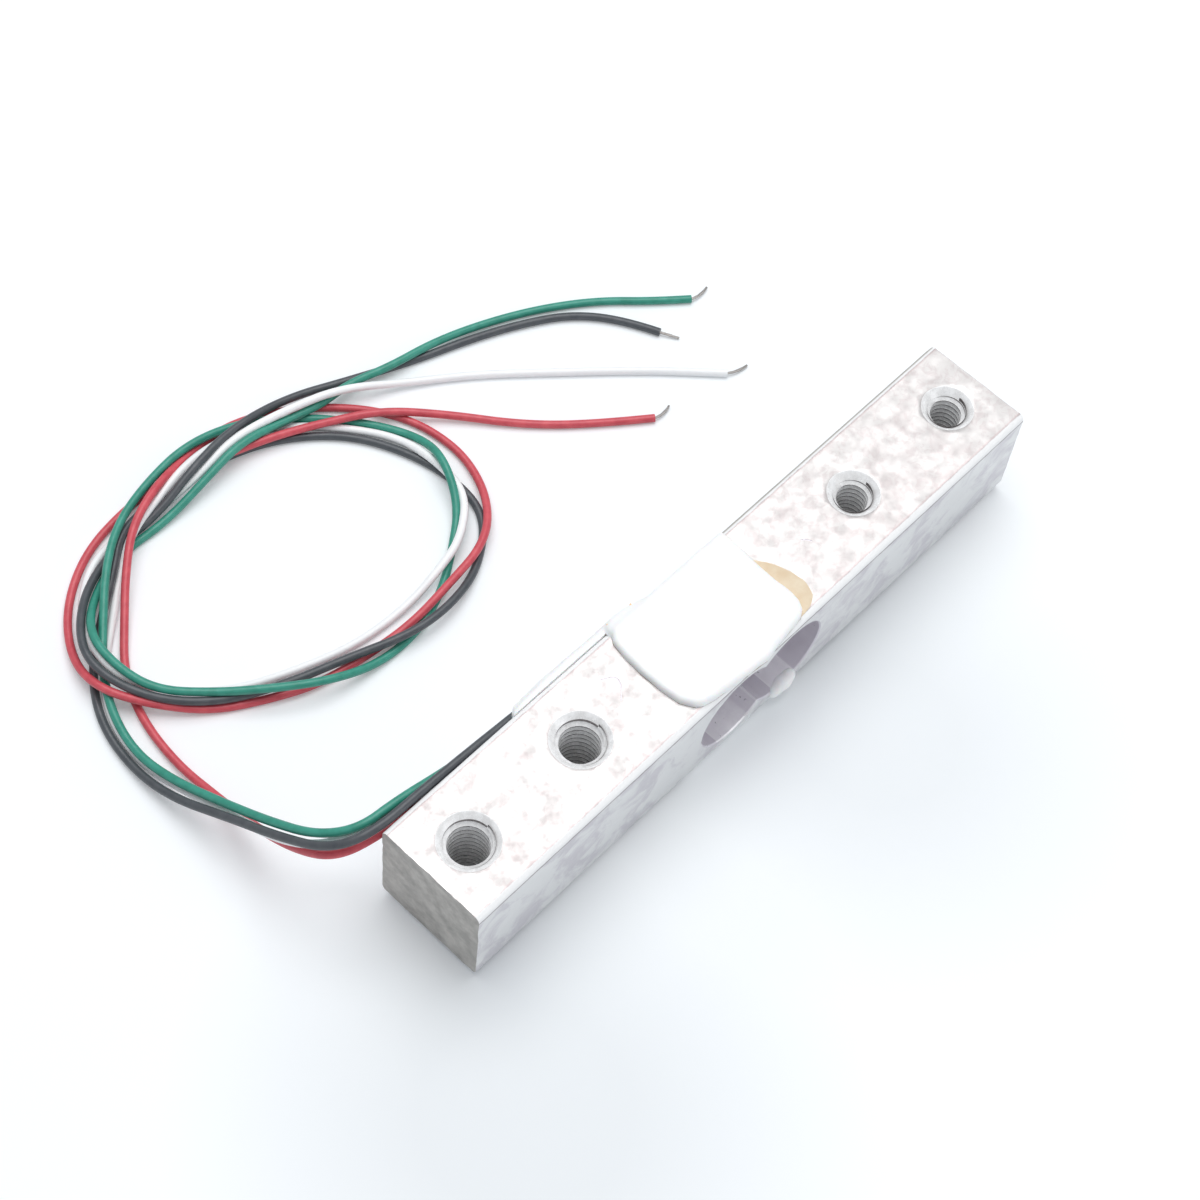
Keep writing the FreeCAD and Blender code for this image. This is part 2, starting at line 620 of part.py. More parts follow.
def makeWrap(label, side):
    """Sealant that joins the strip to the patch or the pad over the back edge of the beam."""
    reach = "Sizes.patch_height" if side > 0 else "Sizes.pad_height"
    low = beamTop + " - Sizes.wrap_drop" if side > 0 else "-%s - %s" % (beamTop, reach)
    body = makeBody(label)
    sketch = makeSketch(body, label + "_outline", "YZ_Plane", "Sizes.wrap_start")
    drawRectangle(sketch, (beamBack + " - Sizes.wrap_inset", low),
                  ("Sizes.wrap_inset + Sizes.wrap_depth", "Sizes.wrap_drop + " + reach))
    solid = pad(body, label + "_pad", sketch, "Sizes.wrap_length")
    box = solid.Shape.BoundBox
    level = box.ZMax if side > 0 else box.ZMin

    def outer(edge):
        middleOfEdge = edge.CenterOfMass
        return runsAlong(edge, 0) and abs(middleOfEdge.y - box.YMax) + abs(middleOfEdge.z - level) < 1e-4

    radius = "Sizes.wrap_round" if side > 0 else "Sizes.pad_height / 2"
    roundEdges(body, label + "_edge", solid, outer, radius)
    return body


def makeSealant(inside):
    patchLow = ("Sizes.patch_start", "-Sizes.beam_width / 2 + Sizes.patch_margin")
    patchExtent = ("Sizes.patch_length", "Sizes.beam_width - 2 * Sizes.patch_margin")
    top = block("patch_form", patchLow + (beamTop,), patchExtent + ("Sizes.patch_height",),
                "Sizes.patch_corner", "Sizes.patch_dome")
    under = block("pad_form", patchLow + ("-Sizes.beam_height / 2 - Sizes.pad_height",),
                  patchExtent + ("Sizes.pad_height",), "Sizes.patch_corner", "Sizes.pad_round", -1)
    pieces = [top, under, makeStrip(), makeWrap("upper_wrap", 1), makeWrap("lower_wrap", -1)]
    last = cut("sealant_shell", fuse("sealant_form", pieces), [bar("bar_form")] + inside)
    for name, points in routes.items():
        passage = makeCord("passage_" + name, points[:3], size["wire_diameter"])
        last = cut("sealant_round_" + name, last, [passage])
    last.Label = "sealant"
    return last


def makeInnerCores():
    """Stripped inner ends of the wires, on the pads of the board."""
    runs = []
    beside = copperFace() + size["core_seat"] + size["core_diameter"] / 2
    for points in routes.values():
        first, second = [FreeCAD.Vector(x, beside, z) for x, y, z in points[:2]]
        inward = (first - second).normalize()
        runs.append(Part.makeCylinder(size["core_diameter"] / 2, size["core_length"], first, inward))
    feature = doc.addObject("Part::Feature", "inner_wire_cores")
    feature.Shape = Part.makeCompound(runs)
    return feature


def makeBareEnd(name):
    """Tinned core past the end of the insulation, first in line with the wire."""
    last = FreeCAD.Vector(*routes[name][-1])
    onward = (last - FreeCAD.Vector(*routes[name][-2])).normalize()
    run = last + onward * size["bare_run"]
    return makeCord("bare_end_" + name, [last, run, bareTips[name]], size["core_diameter"])


beam = makeBeam()
films = [makeFilm("adhesive_top", 1), makeFilm("adhesive_bottom", -1)]
gauges = []
for face, side in (("top", 1), ("bottom", -1)):
    for place, end in (("fixed", -1), ("load", 1)):
        gauges.append(makeCarrier("gauge_backing_%s_%s" % (face, place), side, end))
        gauges.append(makeGrid("gauge_foil_%s_%s" % (face, place), side, end))

board = makeBox("terminal_board",
                ("Sizes.board_start", beamBack, "Sizes.board_middle - Sizes.board_height / 2"),
                ("Sizes.board_length", "Sizes.board_depth", "Sizes.board_height"))
copper = makeCopper()
cores = makeInnerCores()
leads = {side: makeLeads("gauge_leads_" + face, side) for face, side in (("top", 1), ("bottom", -1))}
terminalSolder = makeTerminalSolder([cores] + list(leads.values()))
gaugeSolder = makeGaugeSolder(leads)
wires = [makeCord("wire_" + name, points, size["wire_diameter"]) for name, points in routes.items()]
bareEnds = [makeBareEnd(name) for name in routes]
doc.recompute()

inner = films + gauges + [board, copper, cores] + list(leads.values()) + [terminalSolder, gaugeSolder]
sealant = makeSealant(inner)
doc.recompute()

subparts = [beam, sealant] + inner + wires + bareEnds
for item in doc.Objects:
    if "Invalid" in item.State or "Error" in item.State:
        raise RuntimeError("%s failed: %s" % (item.Label, item.State))
for item in subparts:
    if item.Shape.isNull() or not item.Shape.isValid():
        raise RuntimeError("%s has no valid shape" % item.Label)

os.makedirs("parts", exist_ok=True)
for item in subparts:
    item.Shape.exportStep("parts/%s.step" % item.Label)
    print("%s: %d solids, %.2f mm3" % (item.Label, len(item.Shape.Solids), item.Shape.Volume))
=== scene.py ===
import math
import bpy
from mathutils import Matrix, Vector, noise


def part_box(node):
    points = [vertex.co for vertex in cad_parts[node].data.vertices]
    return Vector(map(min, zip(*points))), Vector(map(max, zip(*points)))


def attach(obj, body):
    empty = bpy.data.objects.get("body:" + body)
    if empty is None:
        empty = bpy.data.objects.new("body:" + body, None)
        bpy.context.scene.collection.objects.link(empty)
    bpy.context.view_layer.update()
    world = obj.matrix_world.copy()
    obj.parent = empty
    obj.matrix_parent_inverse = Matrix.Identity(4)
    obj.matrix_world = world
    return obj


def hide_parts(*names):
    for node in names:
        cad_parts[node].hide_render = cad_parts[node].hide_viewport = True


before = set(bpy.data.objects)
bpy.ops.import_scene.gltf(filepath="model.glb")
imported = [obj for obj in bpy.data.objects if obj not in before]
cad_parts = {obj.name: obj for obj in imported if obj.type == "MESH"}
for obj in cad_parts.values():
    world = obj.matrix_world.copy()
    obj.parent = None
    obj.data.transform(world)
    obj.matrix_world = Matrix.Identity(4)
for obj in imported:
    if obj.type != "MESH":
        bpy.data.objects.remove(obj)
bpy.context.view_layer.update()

mm = 0.001
noiseSeed = 2

noise.seed_set(noiseSeed)  # the same dents and ragged edges in each run


# Camera: seen from above the fixed end, rolled a little, as the photograph shows the cell.

cameraView = {
    "azimuth": -53.1979,
    "elevation": 59.3677,
    "roll": 7.7585,
    "distance": 261.31,
    "target": (-4.382, 11.663, 6.8),
    "angle": 26.0655,
    "sensor": 36,
    "clipStart": 0.01,
}


def addCamera():
    data = bpy.data.cameras.new("camera")
    data.sensor_width = data.sensor_height = cameraView["sensor"]
    data.sensor_fit = "HORIZONTAL"
    data.angle = math.radians(cameraView["angle"])
    data.clip_start = cameraView["clipStart"]
    camera = bpy.data.objects.new("camera", data)
    bpy.context.scene.collection.objects.link(camera)
    turn = Matrix.Rotation(math.radians(cameraView["azimuth"]), 3, "Z")
    turn = turn @ Matrix.Rotation(math.radians(90 - cameraView["elevation"]), 3, "X")
    turn = turn @ Matrix.Rotation(math.radians(cameraView["roll"]), 3, "Z")
    away = turn @ Vector((0, 0, cameraView["distance"]))
    camera.location = (Vector(cameraView["target"]) + away) * mm
    camera.rotation_euler = turn.to_euler()
    bpy.context.scene.camera = camera
    print("camera set at", [round(x, 4) for x in camera.location])


addCamera()
bpy.context.scene.view_settings.view_transform = "Standard"


# Small helpers for selecting, joining, tubes and materials.


def deselectAll():
    if bpy.context.object and bpy.context.object.mode != "OBJECT":
        bpy.ops.object.mode_set(mode="OBJECT")
    bpy.ops.object.select_all(action="DESELECT")


def pick(piece):
    deselectAll()
    piece.select_set(True)
    bpy.context.view_layer.objects.active = piece


def applyPlace(piece):
    pick(piece)
    bpy.ops.object.transform_apply(location=True, rotation=True, scale=True)


def applyModifiers(piece):
    pick(piece)
    for modifier in list(piece.modifiers):
        bpy.ops.object.modifier_apply(modifier=modifier.name)


def wear(piece, *materials):
    piece.data.materials.clear()
    for material in materials:
        piece.data.materials.append(material)


def joinPieces(pieces, name):
    deselectAll()
    for piece in pieces:
        piece.select_set(True)
    bpy.context.view_layer.objects.active = pieces[0]
    bpy.ops.object.join()
    joined = bpy.context.object
    joined.name = name
    return joined


def toMesh(piece):
    pick(piece)
    bpy.ops.object.convert(target="MESH")
    return bpy.context.object


def addTube(name, lines, radius, alongSteps, roundSteps):
    # one curve with a round section, its radius in mm, along lines of points in metres
    data = bpy.data.curves.new(name, "CURVE")
    data.dimensions = "3D"
    for points in lines:
        line = data.splines.new("NURBS")
        line.points.add(len(points) - 1)
        for target, point in zip(line.points, points):
            target.co = (*point, 1)
        line.order_u = 3
        line.use_endpoint_u = True
        line.resolution_u = alongSteps
    data.bevel_depth = radius * mm
    data.bevel_resolution = roundSteps
    data.use_fill_caps = True
    tube = bpy.data.objects.new(name, data)
    bpy.context.scene.collection.objects.link(tube)
    return tube


def newMaterial(name, base, roughness, metallic=0.0, **sockets):
    # sockets are uniform values of the shader's own inputs, by name with spaces as underscores
    material = bpy.data.materials.new(name)
    material.use_nodes = True
    shader = material.node_tree.nodes["Principled BSDF"]
    shader.inputs["Base Color"].default_value = (*base, 1)
    shader.inputs["Roughness"].default_value = roughness
    shader.inputs["Metallic"].default_value = metallic
    for socket, value in sockets.items():
        shader.inputs[socket.replace("_", " ")].default_value = value
    return material


class Painter:
    # adds nodes to one material, and joins them to its shader

    def __init__(self, material):
        self.tree = material.node_tree
        self.shader = self.tree.nodes["Principled BSDF"]
        self.place = self.add("ShaderNodeTexCoord").outputs["Object"]

    def add(self, kind, **settings):
        node = self.tree.nodes.new(kind)
        for name, value in settings.items():
            setattr(node, name, value)
        return node

    def join(self, source, target):
        self.tree.links.new(source, target)

    def stretched(self, scale, turn=(0, 0, 0)):
        node = self.add("ShaderNodeMapping")
        node.inputs["Rotation"].default_value = turn
        node.inputs["Scale"].default_value = scale
        self.join(self.place, node.inputs["Vector"])
        return node.outputs["Vector"]

    def clouds(self, scale, detail=4, roughness=0.55, vector=None, distortion=0.0):
        node = self.add("ShaderNodeTexNoise")
        node.inputs["Scale"].default_value = scale
        node.inputs["Detail"].default_value = detail
        node.inputs["Roughness"].default_value = roughness
        node.inputs["Distortion"].default_value = distortion
        self.join(vector or self.place, node.inputs["Vector"])
        return node.outputs["Fac"]

    def ramp(self, value, *stops):
        node = self.add("ShaderNodeValToRGB")
        band = node.color_ramp
        while len(band.elements) < len(stops):
            band.elements.new(0.5)
        for element, (position, colour) in zip(band.elements, stops):
            element.position = position
            element.color = (colour, colour, colour, 1)
        self.join(value, node.inputs["Fac"])
        return node.outputs["Color"]

    def mix(self, first, second, factor):
        node = self.add("ShaderNodeMix", data_type="RGBA")
        for socket, value in (("A", first), ("B", second)):
            target = [s for s in node.inputs if s.name == socket and s.type == "RGBA"][0]
            if hasattr(value, "links"):
                self.join(value, target)
            else:
                target.default_value = (*value, 1)
        self.join(factor, node.inputs["Factor"])
        return [s for s in node.outputs if s.type == "RGBA"][0]

    def maths(self, way, first, second=0.0):
        node = self.add("ShaderNodeMath", operation=way)
        for index, value in enumerate((first, second)):
            if hasattr(value, "links"):
                self.join(value, node.inputs[index])
            else:
                node.inputs[index].default_value = value
        return node.outputs["Value"]

    def times(self, first, second):
        return self.maths("MULTIPLY", first, second)

    def plus(self, first, second):
        return self.maths("ADD", first, second)

    def axis(self, which):
        node = self.add("ShaderNodeSeparateXYZ")
        self.join(self.place, node.inputs["Vector"])
        return node.outputs[which]

    def reach(self, point):
        # distance from a point given in mm, in units of 100 mm
        node = self.add("ShaderNodeVectorMath", operation="DISTANCE")
        node.inputs[1].default_value = [x * mm for x in point]
        self.join(self.place, node.inputs[0])
        return self.times(node.outputs["Value"], 10.0)

    def facing(self, which):
        # how far the surface itself faces along one axis of the object
        shape = self.add("ShaderNodeNewGeometry")
        node = self.add("ShaderNodeSeparateXYZ")
        self.join(shape.outputs["Normal"], node.inputs["Vector"])
        return node.outputs[which]

    def colour(self, source):
        self.join(source, self.shader.inputs["Base Color"])

    def rough(self, source):
        self.join(source, self.shader.inputs["Roughness"])

    def metallic(self, source):
        self.join(source, self.shader.inputs["Metallic"])

    def bump(self, *layers):
        # each layer is (height, depth in mm, strength)
        last = None
        for height, depth, strength in layers:
            node = self.add("ShaderNodeBump")
            node.inputs["Distance"].default_value = depth * mm
            node.inputs["Strength"].default_value = strength
            self.join(height, node.inputs["Height"])
            if last:
                self.join(last, node.inputs["Normal"])
            last = node.outputs["Normal"]
        self.join(last, self.shader.inputs["Normal"])


# Lead wires: the same centre lines as the solids, in millimetres, from the board to the stripped ends.

wireSizes = {
    "diameter": 0.9,
    "alongSteps": 14,
    "roundSteps": 5,
    "strands": 7,
    "strandDiameter": 0.11,
    "strandAlongSteps": 3,
    "strandRoundSteps": 2,
    "strandRing": 0.10,
    "strandSteps": 18,
    "strandStart": 0.3,
    "strandBend": 0.85,
    "twist": 4.2,
    "loosening": 0.25,
    "looseningPhase": 2.3,
}

wireRoutes = {
    "black": [
        (-17.1, 6.9, 10.75), (-25.5, 6.9, 12), (-34, 6.92, 12.9), (-40.5, 6.9, 13.1), (-44.2, 9, 11.8),
        (-45.6, 14.2, 8.6), (-46.7, 20.5, 5.2), (-48.2, 27, 2), (-48.5, 32.6, 0.6), (-47.45, 38.6, 0.45),
        (-44.5, 43.55, 0.45), (-40.3, 47.2, 0.45), (-35.65, 50.3, 1.6), (-31.3, 54, 1.65),
        (-25, 54.5, 0.45), (-18, 54.1, 0.45), (-11.5, 51.6, 0.45), (-6, 47, 0.45), (-2.9, 41, 0.45),
        (-1.7, 35, 0.45), (-2.5, 29.5, 0.45), (-7.5, 25.5, 0.5), (-13, 23.8, 1.6), (-18.6, 24.05, 1.85),
        (-25, 26.7, 1.4), (-31.5, 28.9, 1.3), (-37.5, 31.9, 1.3), (-42.1, 36, 2.2), (-44.4, 41.3, 2.9),
        (-43.8, 45.85, 2.85), (-39.35, 50.65, 1.6), (-33.2, 53.25, 0.5), (-27.25, 52.9, 1.15),
        (-21.6, 53.7, 3), (-14.95, 54.85, 2.6), (-7.5, 54.5, 1), (-1, 51.9, 0.45), (6, 48.9, 0.45),
        (12.5, 46.7, 0.45), (18, 44.3, 0.45), (23, 41.3, 0.45), (26.6, 36.8, 0.45), (28.3, 32.9, 0.45),
    ],
    "green": [
        (-17.1, 6.9, 9.8), (-25.5, 6.9, 11.05), (-30.5, 7.25, 11.5), (-36.5, 7.95, 12.5),
        (-41, 8.3, 12.5), (-43.8, 11.3, 10.8), (-45, 16.5, 7.8), (-45.9, 22.5, 4.5), (-47, 28.5, 2.2),
        (-47.35, 33.5, 1.3), (-46.1, 38.5, 1.3), (-43.45, 42.95, 1.4), (-40.2, 46.5, 1.9),
        (-36.2, 50.7, 2.6), (-31.65, 54.2, 2.35), (-26, 56.2, 1.9), (-19.35, 57, 1.9),
        (-12.4, 55.35, 0.8), (-7, 51, 0.45), (-3, 46, 0.45), (-0.7, 40.95, 0.8), (-1.85, 36.35, 3),
        (-4.1, 31.9, 1.2), (-8.3, 28.7, 0.45), (-12.5, 26, 0.45), (-17.5, 24.35, 0.45), (-23, 24.4, 0.5),
        (-28.6, 25.75, 2.4), (-33.35, 29, 2.6), (-37.6, 33.05, 1.9), (-41.7, 36.9, 2.6),
        (-42.9, 41.7, 3.3), (-42.15, 46.4, 3.1), (-37.9, 50.5, 0.6), (-33, 52.35, 0.45), (-27, 52, 0.5),
        (-20.95, 52.35, 1.9), (-15.6, 52.9, 2.6), (-10, 52.2, 1.5), (-5.5, 51.2, 1.3), (-1.5, 51.2, 1.2),
        (3, 49.6, 1.5), (8.9, 48.85, 1.1), (15, 47.2, 0.45), (21, 44.3, 0.45), (26.5, 40.6, 0.45),
        (31, 36.2, 0.45), (34.2, 33.6, 0.45),
    ],
    "white": [
        (-17.1, 6.9, 8.85), (-25.5, 6.9, 10.1), (-32, 7.2, 10.8), (-39.5, 7.9, 11.6), (-43.6, 9.9, 10.3),
        (-45.3, 14, 7.5), (-45.9, 19.5, 4.6), (-46.6, 26, 2), (-47.5, 32, 0.45), (-46.75, 37.6, 0.45),
        (-44, 42.5, 0.45), (-40, 45.9, 0.45), (-35.9, 49.4, 0.45), (-31.1, 52.85, 1.7),
        (-26.1, 54.15, 1.65), (-20.3, 55.25, 2), (-14.6, 55.2, 0.45), (-9.65, 52.05, 0.45),
        (-5.5, 47.7, 0.45), (-2.35, 42.8, 0.6), (-1.9, 37.5, 1.5), (-2.5, 32.35, 1.45),
        (-6.85, 28.8, 1.6), (-10.6, 27.75, 1.7), (-16, 27.2, 0.5), (-23, 27.6, 0.45), (-29.5, 29.7, 0.45),
        (-35.5, 32.4, 0.45), (-40, 36, 1.1), (-43.15, 40.35, 2.4), (-42.95, 45.05, 2.4),
        (-40.1, 50.55, 0.45), (-34.7, 54.1, 0.45), (-27.5, 53.6, 0.45), (-21.75, 53.2, 1.9),
        (-15.65, 53.9, 2.5), (-9, 52.6, 2.4), (-3.1, 50.75, 2.3), (3, 47.5, 0.6), (9.5, 43, 0.45),
        (16, 37.2, 0.45), (22.5, 31.3, 0.45), (26.5, 27.3, 0.45), (29.6, 24, 0.45),
    ],
    "red": [
        (-17.1, 6.9, 7.9), (-25.5, 6.9, 9.15), (-33, 6.9, 10), (-39.5, 6.9, 11.3), (-43.8, 8.4, 10.4),
        (-45, 12.45, 7.4), (-45.2, 18.2, 4), (-44.9, 24, 1.5), (-45.1, 30, 0.6), (-44.2, 36.3, 0.45),
        (-41.9, 41.6, 0.45), (-38.3, 45.6, 0.9), (-34.65, 49.4, 2.1), (-30.7, 52.8, 2.75),
        (-25.7, 54.9, 2.7), (-19.7, 56.45, 0.8), (-14.2, 56.65, 0.45), (-8.35, 53.8, 0.45),
        (-4, 50, 0.45), (-0.9, 46, 0.45), (0.9, 41.5, 0.45), (1.2, 36, 0.45), (-1.2, 30.3, 0.9),
        (-5.5, 26.6, 1.6), (-12.1, 25.65, 1.6), (-17.6, 25.25, 0.95), (-23.5, 26, 0.45), (-29, 27, 0.45),
        (-34, 29.4, 0.45), (-38.7, 32.3, 0.45), (-42.65, 36.3, 1.6), (-45.5, 40.85, 2.5),
        (-44.9, 46, 0.9), (-41.35, 51.15, 0.45), (-35.65, 54.85, 0.45), (-29.05, 56.1, 0.45),
        (-22.6, 55.85, 0.65), (-17.05, 53.15, 1.65), (-11.9, 51.65, 1.3), (-6.5, 48.9, 1.45),
        (-1.55, 46, 1.55), (3.4, 41.25, 0.8), (8.5, 34.8, 0.45), (14, 29.6, 0.45), (19.47, 25.5, 0.45),
    ],
}

wireColours = {
    "black": ((0.066, 0.074, 0.084), (0.088, 0.096, 0.106)),
    "green": ((0.030, 0.270, 0.195), (0.046, 0.330, 0.245)),
    "white": ((0.95, 0.96, 0.97), (0.985, 0.99, 0.995)),
    "red": ((0.60, 0.070, 0.095), (0.70, 0.100, 0.125)),
}

# Where the bare strands of each wire end, in millimetres.
bareTips = {
    "black": (29.4, 31.0, 0.2),
    "green": (36.8, 33.6, 0.2),
    "white": (32.1, 23.3, 0.2),
    "red": (21.9, 25.6, 0.2),
}


def addWire(name):
    route = [[x * mm for x in point] for point in wireRoutes[name]]
    return addTube("wire_" + name + "_cover", [route], wireSizes["diameter"] / 2,
                   wireSizes["alongSteps"], wireSizes["roundSteps"])


def insulation(name):
    dark, light = wireColours[name]
    material = newMaterial("insulation_" + name, light, 0.36, Coat_Weight=0.12, Coat_Roughness=0.25)
    paint = Painter(material)
    patches = paint.clouds(900, detail=3)
    paint.colour(paint.mix(dark, light, paint.ramp(patches, (0.35, 0.0), (0.65, 1.0))))
    paint.rough(paint.ramp(paint.clouds(2400, detail=2), (0.3, 0.30), (0.7, 0.44)))
    paint.bump((paint.clouds(700, detail=2), 0.05, 0.35), (paint.clouds(5200, detail=2), 0.01, 0.3))
    return material


def addStrands(name):
    # tinned strands twisted together, first in line with the wire, then bent toward their tip
    last, before = Vector(wireRoutes[name][-1]), Vector(wireRoutes[name][-2])
    onward = (last - before).normalized()
    begin = last - onward * wireSizes["strandStart"]
    bend = last + onward * wireSizes["strandBend"]
    tip = Vector(bareTips[name])
    steps = wireSizes["strandSteps"]
    lines = []
    for strand in range(wireSizes["strands"]):
        points = []
        for step in range(steps + 1):
            share = step / steps
            centre = begin * (1 - share) ** 2 + bend * 2 * share * (1 - share) + tip * share ** 2
            along = ((bend - begin) * (1 - share) + (tip - bend) * share).normalized()
            side = along.cross(Vector((0, 0, 1))).normalized()
            up = side.cross(along)
            away = wireSizes["strandRing"] if strand else 0
            angle = math.tau * strand / (wireSizes["strands"] - 1) + wireSizes["twist"] * share
            loose = wireSizes["loosening"] * share * math.sin(wireSizes["looseningPhase"] * strand)
            spread = away * (1 + loose)
            place = centre + side * math.cos(angle) * spread + up * math.sin(angle) * spread
            points.append(place * mm)
        lines.append(points)
    return addTube("strands_" + name, lines, wireSizes["strandDiameter"] / 2,
                   wireSizes["strandAlongSteps"], wireSizes["strandRoundSteps"])


def layWires():
    tin = newMaterial("tinned_strands", (0.50, 0.47, 0.45), 0.38, 0.9)
    for name in wireRoutes:
        strands = addStrands(name)
        wear(strands, tin)
        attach(strands, "root")
        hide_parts("bare_end_" + name)
        wire = addWire(name)
        wear(wire, insulation(name))
        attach(wire, "root")
        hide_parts("wire_" + name)


layWires()
print("wires laid")


# Floor, backdrop and light.

stageSizes = {
    "floor": 2.4,
    "glow": 0.15,
    "worldStrength": 0.5,
    "worldColour": (0.93, 0.96, 1.0),
}

# Painted shadows on the sheet, by the near end and the near side of the beam: place in mm, depth at the
# middle, and where each starts and ends to fade, in units of 100 mm.
paintedFloorShadows = {
    "beforeEnd": {"place": (-46, -19, 0), "near": 0.10, "far": 0.34, "depth": 1.0},
    "beforeSide": {"place": (8, -17, 0), "near": 0.08, "far": 0.30, "depth": 0.9},
}

lamps = {
    "overhead": {"place": (0.10, 0.12, 0.55), "aim": (0, 0.01, 0), "size": 0.5, "power": 2.2},
    "front": {"place": (0.16, -0.48, 0.14), "aim": (0, 0, 0.005), "size": 0.3, "power": 0.35},
}


def addFloor():
    deselectAll()
    bpy.ops.mesh.primitive_plane_add(size=stageSizes["floor"], location=(0, 0, 0))
    floor = bpy.context.object
    floor.name = "floor"
    material = newMaterial("floor", (0.86, 0.89, 0.91), 0.75, Specular_IOR_Level=0.2,
                           Emission_Color=(1, 1, 1, 1))
    # seen by the camera the sheet is burnt out, but for the painted shadows near the beam, where the glow is
    # taken away
    paint = Painter(material)
    glowOutsideShadows = 1.0
    for floorShadow in paintedFloorShadows.values():
        patch = paint.ramp(paint.reach(floorShadow["place"]), (floorShadow["near"], floorShadow["depth"]), (floorShadow["far"], 0.0))
        glowOutsideShadows = paint.maths("SUBTRACT", glowOutsideShadows, patch)
    seen = paint.add("ShaderNodeLightPath").outputs["Is Camera Ray"]
    glow = paint.times(paint.times(seen, stageSizes["glow"]), glowOutsideShadows)
    paint.join(paint.maths("MAXIMUM", glow, 0.0), paint.shader.inputs["Emission Strength"])
    wear(floor, material)


def addWorld():
    world = bpy.data.worlds.new("world")
    bpy.context.scene.world = world
    world.use_nodes = True
    background = world.node_tree.nodes["Background"]
    background.inputs["Color"].default_value = (*stageSizes["worldColour"], 1)
    background.inputs["Strength"].default_value = stageSizes["worldStrength"]


def addLamp(name, place, aim, size, power):
    data = bpy.data.lights.new(name, "AREA")
    data.size = size
    data.energy = power
    lamp = bpy.data.objects.new(name, data)
    bpy.context.scene.collection.objects.link(lamp)
    lamp.location = place
    lamp.rotation_euler = (Vector(place) - Vector(aim)).to_track_quat("Z", "Y").to_euler()


addFloor()
addWorld()
for name, lamp in lamps.items():
    addLamp(name, **lamp)
print("stage set")

# Beam: drawn aluminium bar, sawn at both ends, bored through and tapped at four places.

beamSizes = {
    "cuts": (199, 15, 15),
    "longEdge": 0.7,
    "edgeSteps": 5,
    "burr": 0.09,
    "burrReach": 0.55,
    "dent": 0.012,
    "fineDents": 1.9,
    "finerDents": 4.3,
    "broadDents": 0.35,
    "boreRadius": 5.0,
    "boreOffset": 3.75,
    "boreSides": 160,
    "boreRim": 0.14,
    "holeSides": 96,
    "rimStep": 0.07,
    "threadSteps": 44,
    "threadRoot": 0.04,
    "threadFoot": 0.46,
    "threadTip": 0.08,
    "finerShare": 0.5,
    "broadShare": 0.25,
    "scratch": 0.055,
    "scratchAlongSteps": 12,
    "scratchRoundSteps": 1,
    "sharpAngle": 32,
}

threadedHoles = (
    {"x": -35, "sink": 6.0, "major": 5.0, "minor": 4.2, "pitch": 0.8},
    {"x": -20, "sink": 6.0, "major": 5.0, "minor": 4.2, "pitch": 0.8},
    {"x": 20, "sink": 5.3, "major": 4.0, "minor": 3.3, "pitch": 0.7},
    {"x": 35, "sink": 5.3, "major": 4.0, "minor": 3.3, "pitch": 0.7},
)

scratches = {
    "hook": [(-14.0, 3.1), (-13.3, 2.75), (-12.7, 2.3), (-12.8, 1.65), (-13.25, 1.0), (-14.2, 0.2)],
    "nick": [(11.9, 0.05), (12.35, -0.25), (12.6, -0.8)],
}


def selectEdges(piece, wanted):
    # leaves the piece in edit mode
    pick(piece)
    bpy.ops.object.mode_set(mode="EDIT")
    bpy.ops.mesh.select_mode(type="EDGE")
    bpy.ops.mesh.select_all(action="DESELECT")
    bpy.ops.object.mode_set(mode="OBJECT")
    spots = piece.data.vertices
    for edge in piece.data.edges:
        edge.select = wanted(*[spots[i].co for i in edge.vertices])
    bpy.ops.object.mode_set(mode="EDIT")


def blank(name):
    low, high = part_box("beam")
    deselectAll()
    bpy.ops.mesh.primitive_cube_add(size=1, location=(low + high) / 2)
    bar = bpy.context.object
    bar.name = name
    bar.scale = high - low
    applyPlace(bar)
    return bar


def wornBar():
    bar = blank("beam_machined")
    low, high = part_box("beam")
    for axis, cuts in enumerate(beamSizes["cuts"]):
        selectEdges(bar, lambda a, b: abs(a[axis] - b[axis]) > 1e-6)
        bpy.ops.mesh.subdivide(number_cuts=cuts)
        bpy.ops.object.mode_set(mode="OBJECT")

    def atRim(point):
        return [min(abs(point[i] - low[i]), abs(point[i] - high[i])) < 1e-6 for i in range(3)]

    # only the drawn long edges are rounded
    selectEdges(bar, lambda a, b: all(atRim(a)[1:]) and all(atRim(b)[1:]))
    bpy.ops.mesh.bevel(offset=beamSizes["longEdge"] * mm, segments=beamSizes["edgeSteps"], affect="EDGES")
    bpy.ops.object.mode_set(mode="OBJECT")
    centre = (low + high) / 2
    half = (high - low) / 2
    for vertex in bar.data.vertices:
        spot = vertex.co.copy()
        depth = sorted((half[i] - abs(spot[i] - centre[i])) / mm for i in range(3))
        rim = max(0, 1 - depth[1] / beamSizes["burrReach"])
        fine = noise.noise_vector(spot / mm * beamSizes["fineDents"])
        fine += noise.noise_vector(spot / mm * beamSizes["finerDents"]) * beamSizes["finerShare"]
        broad = noise.noise_vector(spot / mm * beamSizes["broadDents"])
        inward = Vector([-math.copysign(1, spot[i] - centre[i]) for i in range(3)])
        for i in range(3):
            push = rim * beamSizes["burr"] * (abs(fine[i]) + beamSizes["broadShare"] * broad[i])
            push += beamSizes["dent"] * abs(broad[i])
            if (half[i] - abs(spot[i] - centre[i])) / mm < beamSizes["burrReach"]:
                vertex.co[i] = spot[i] + inward[i] * push * mm
    return bar


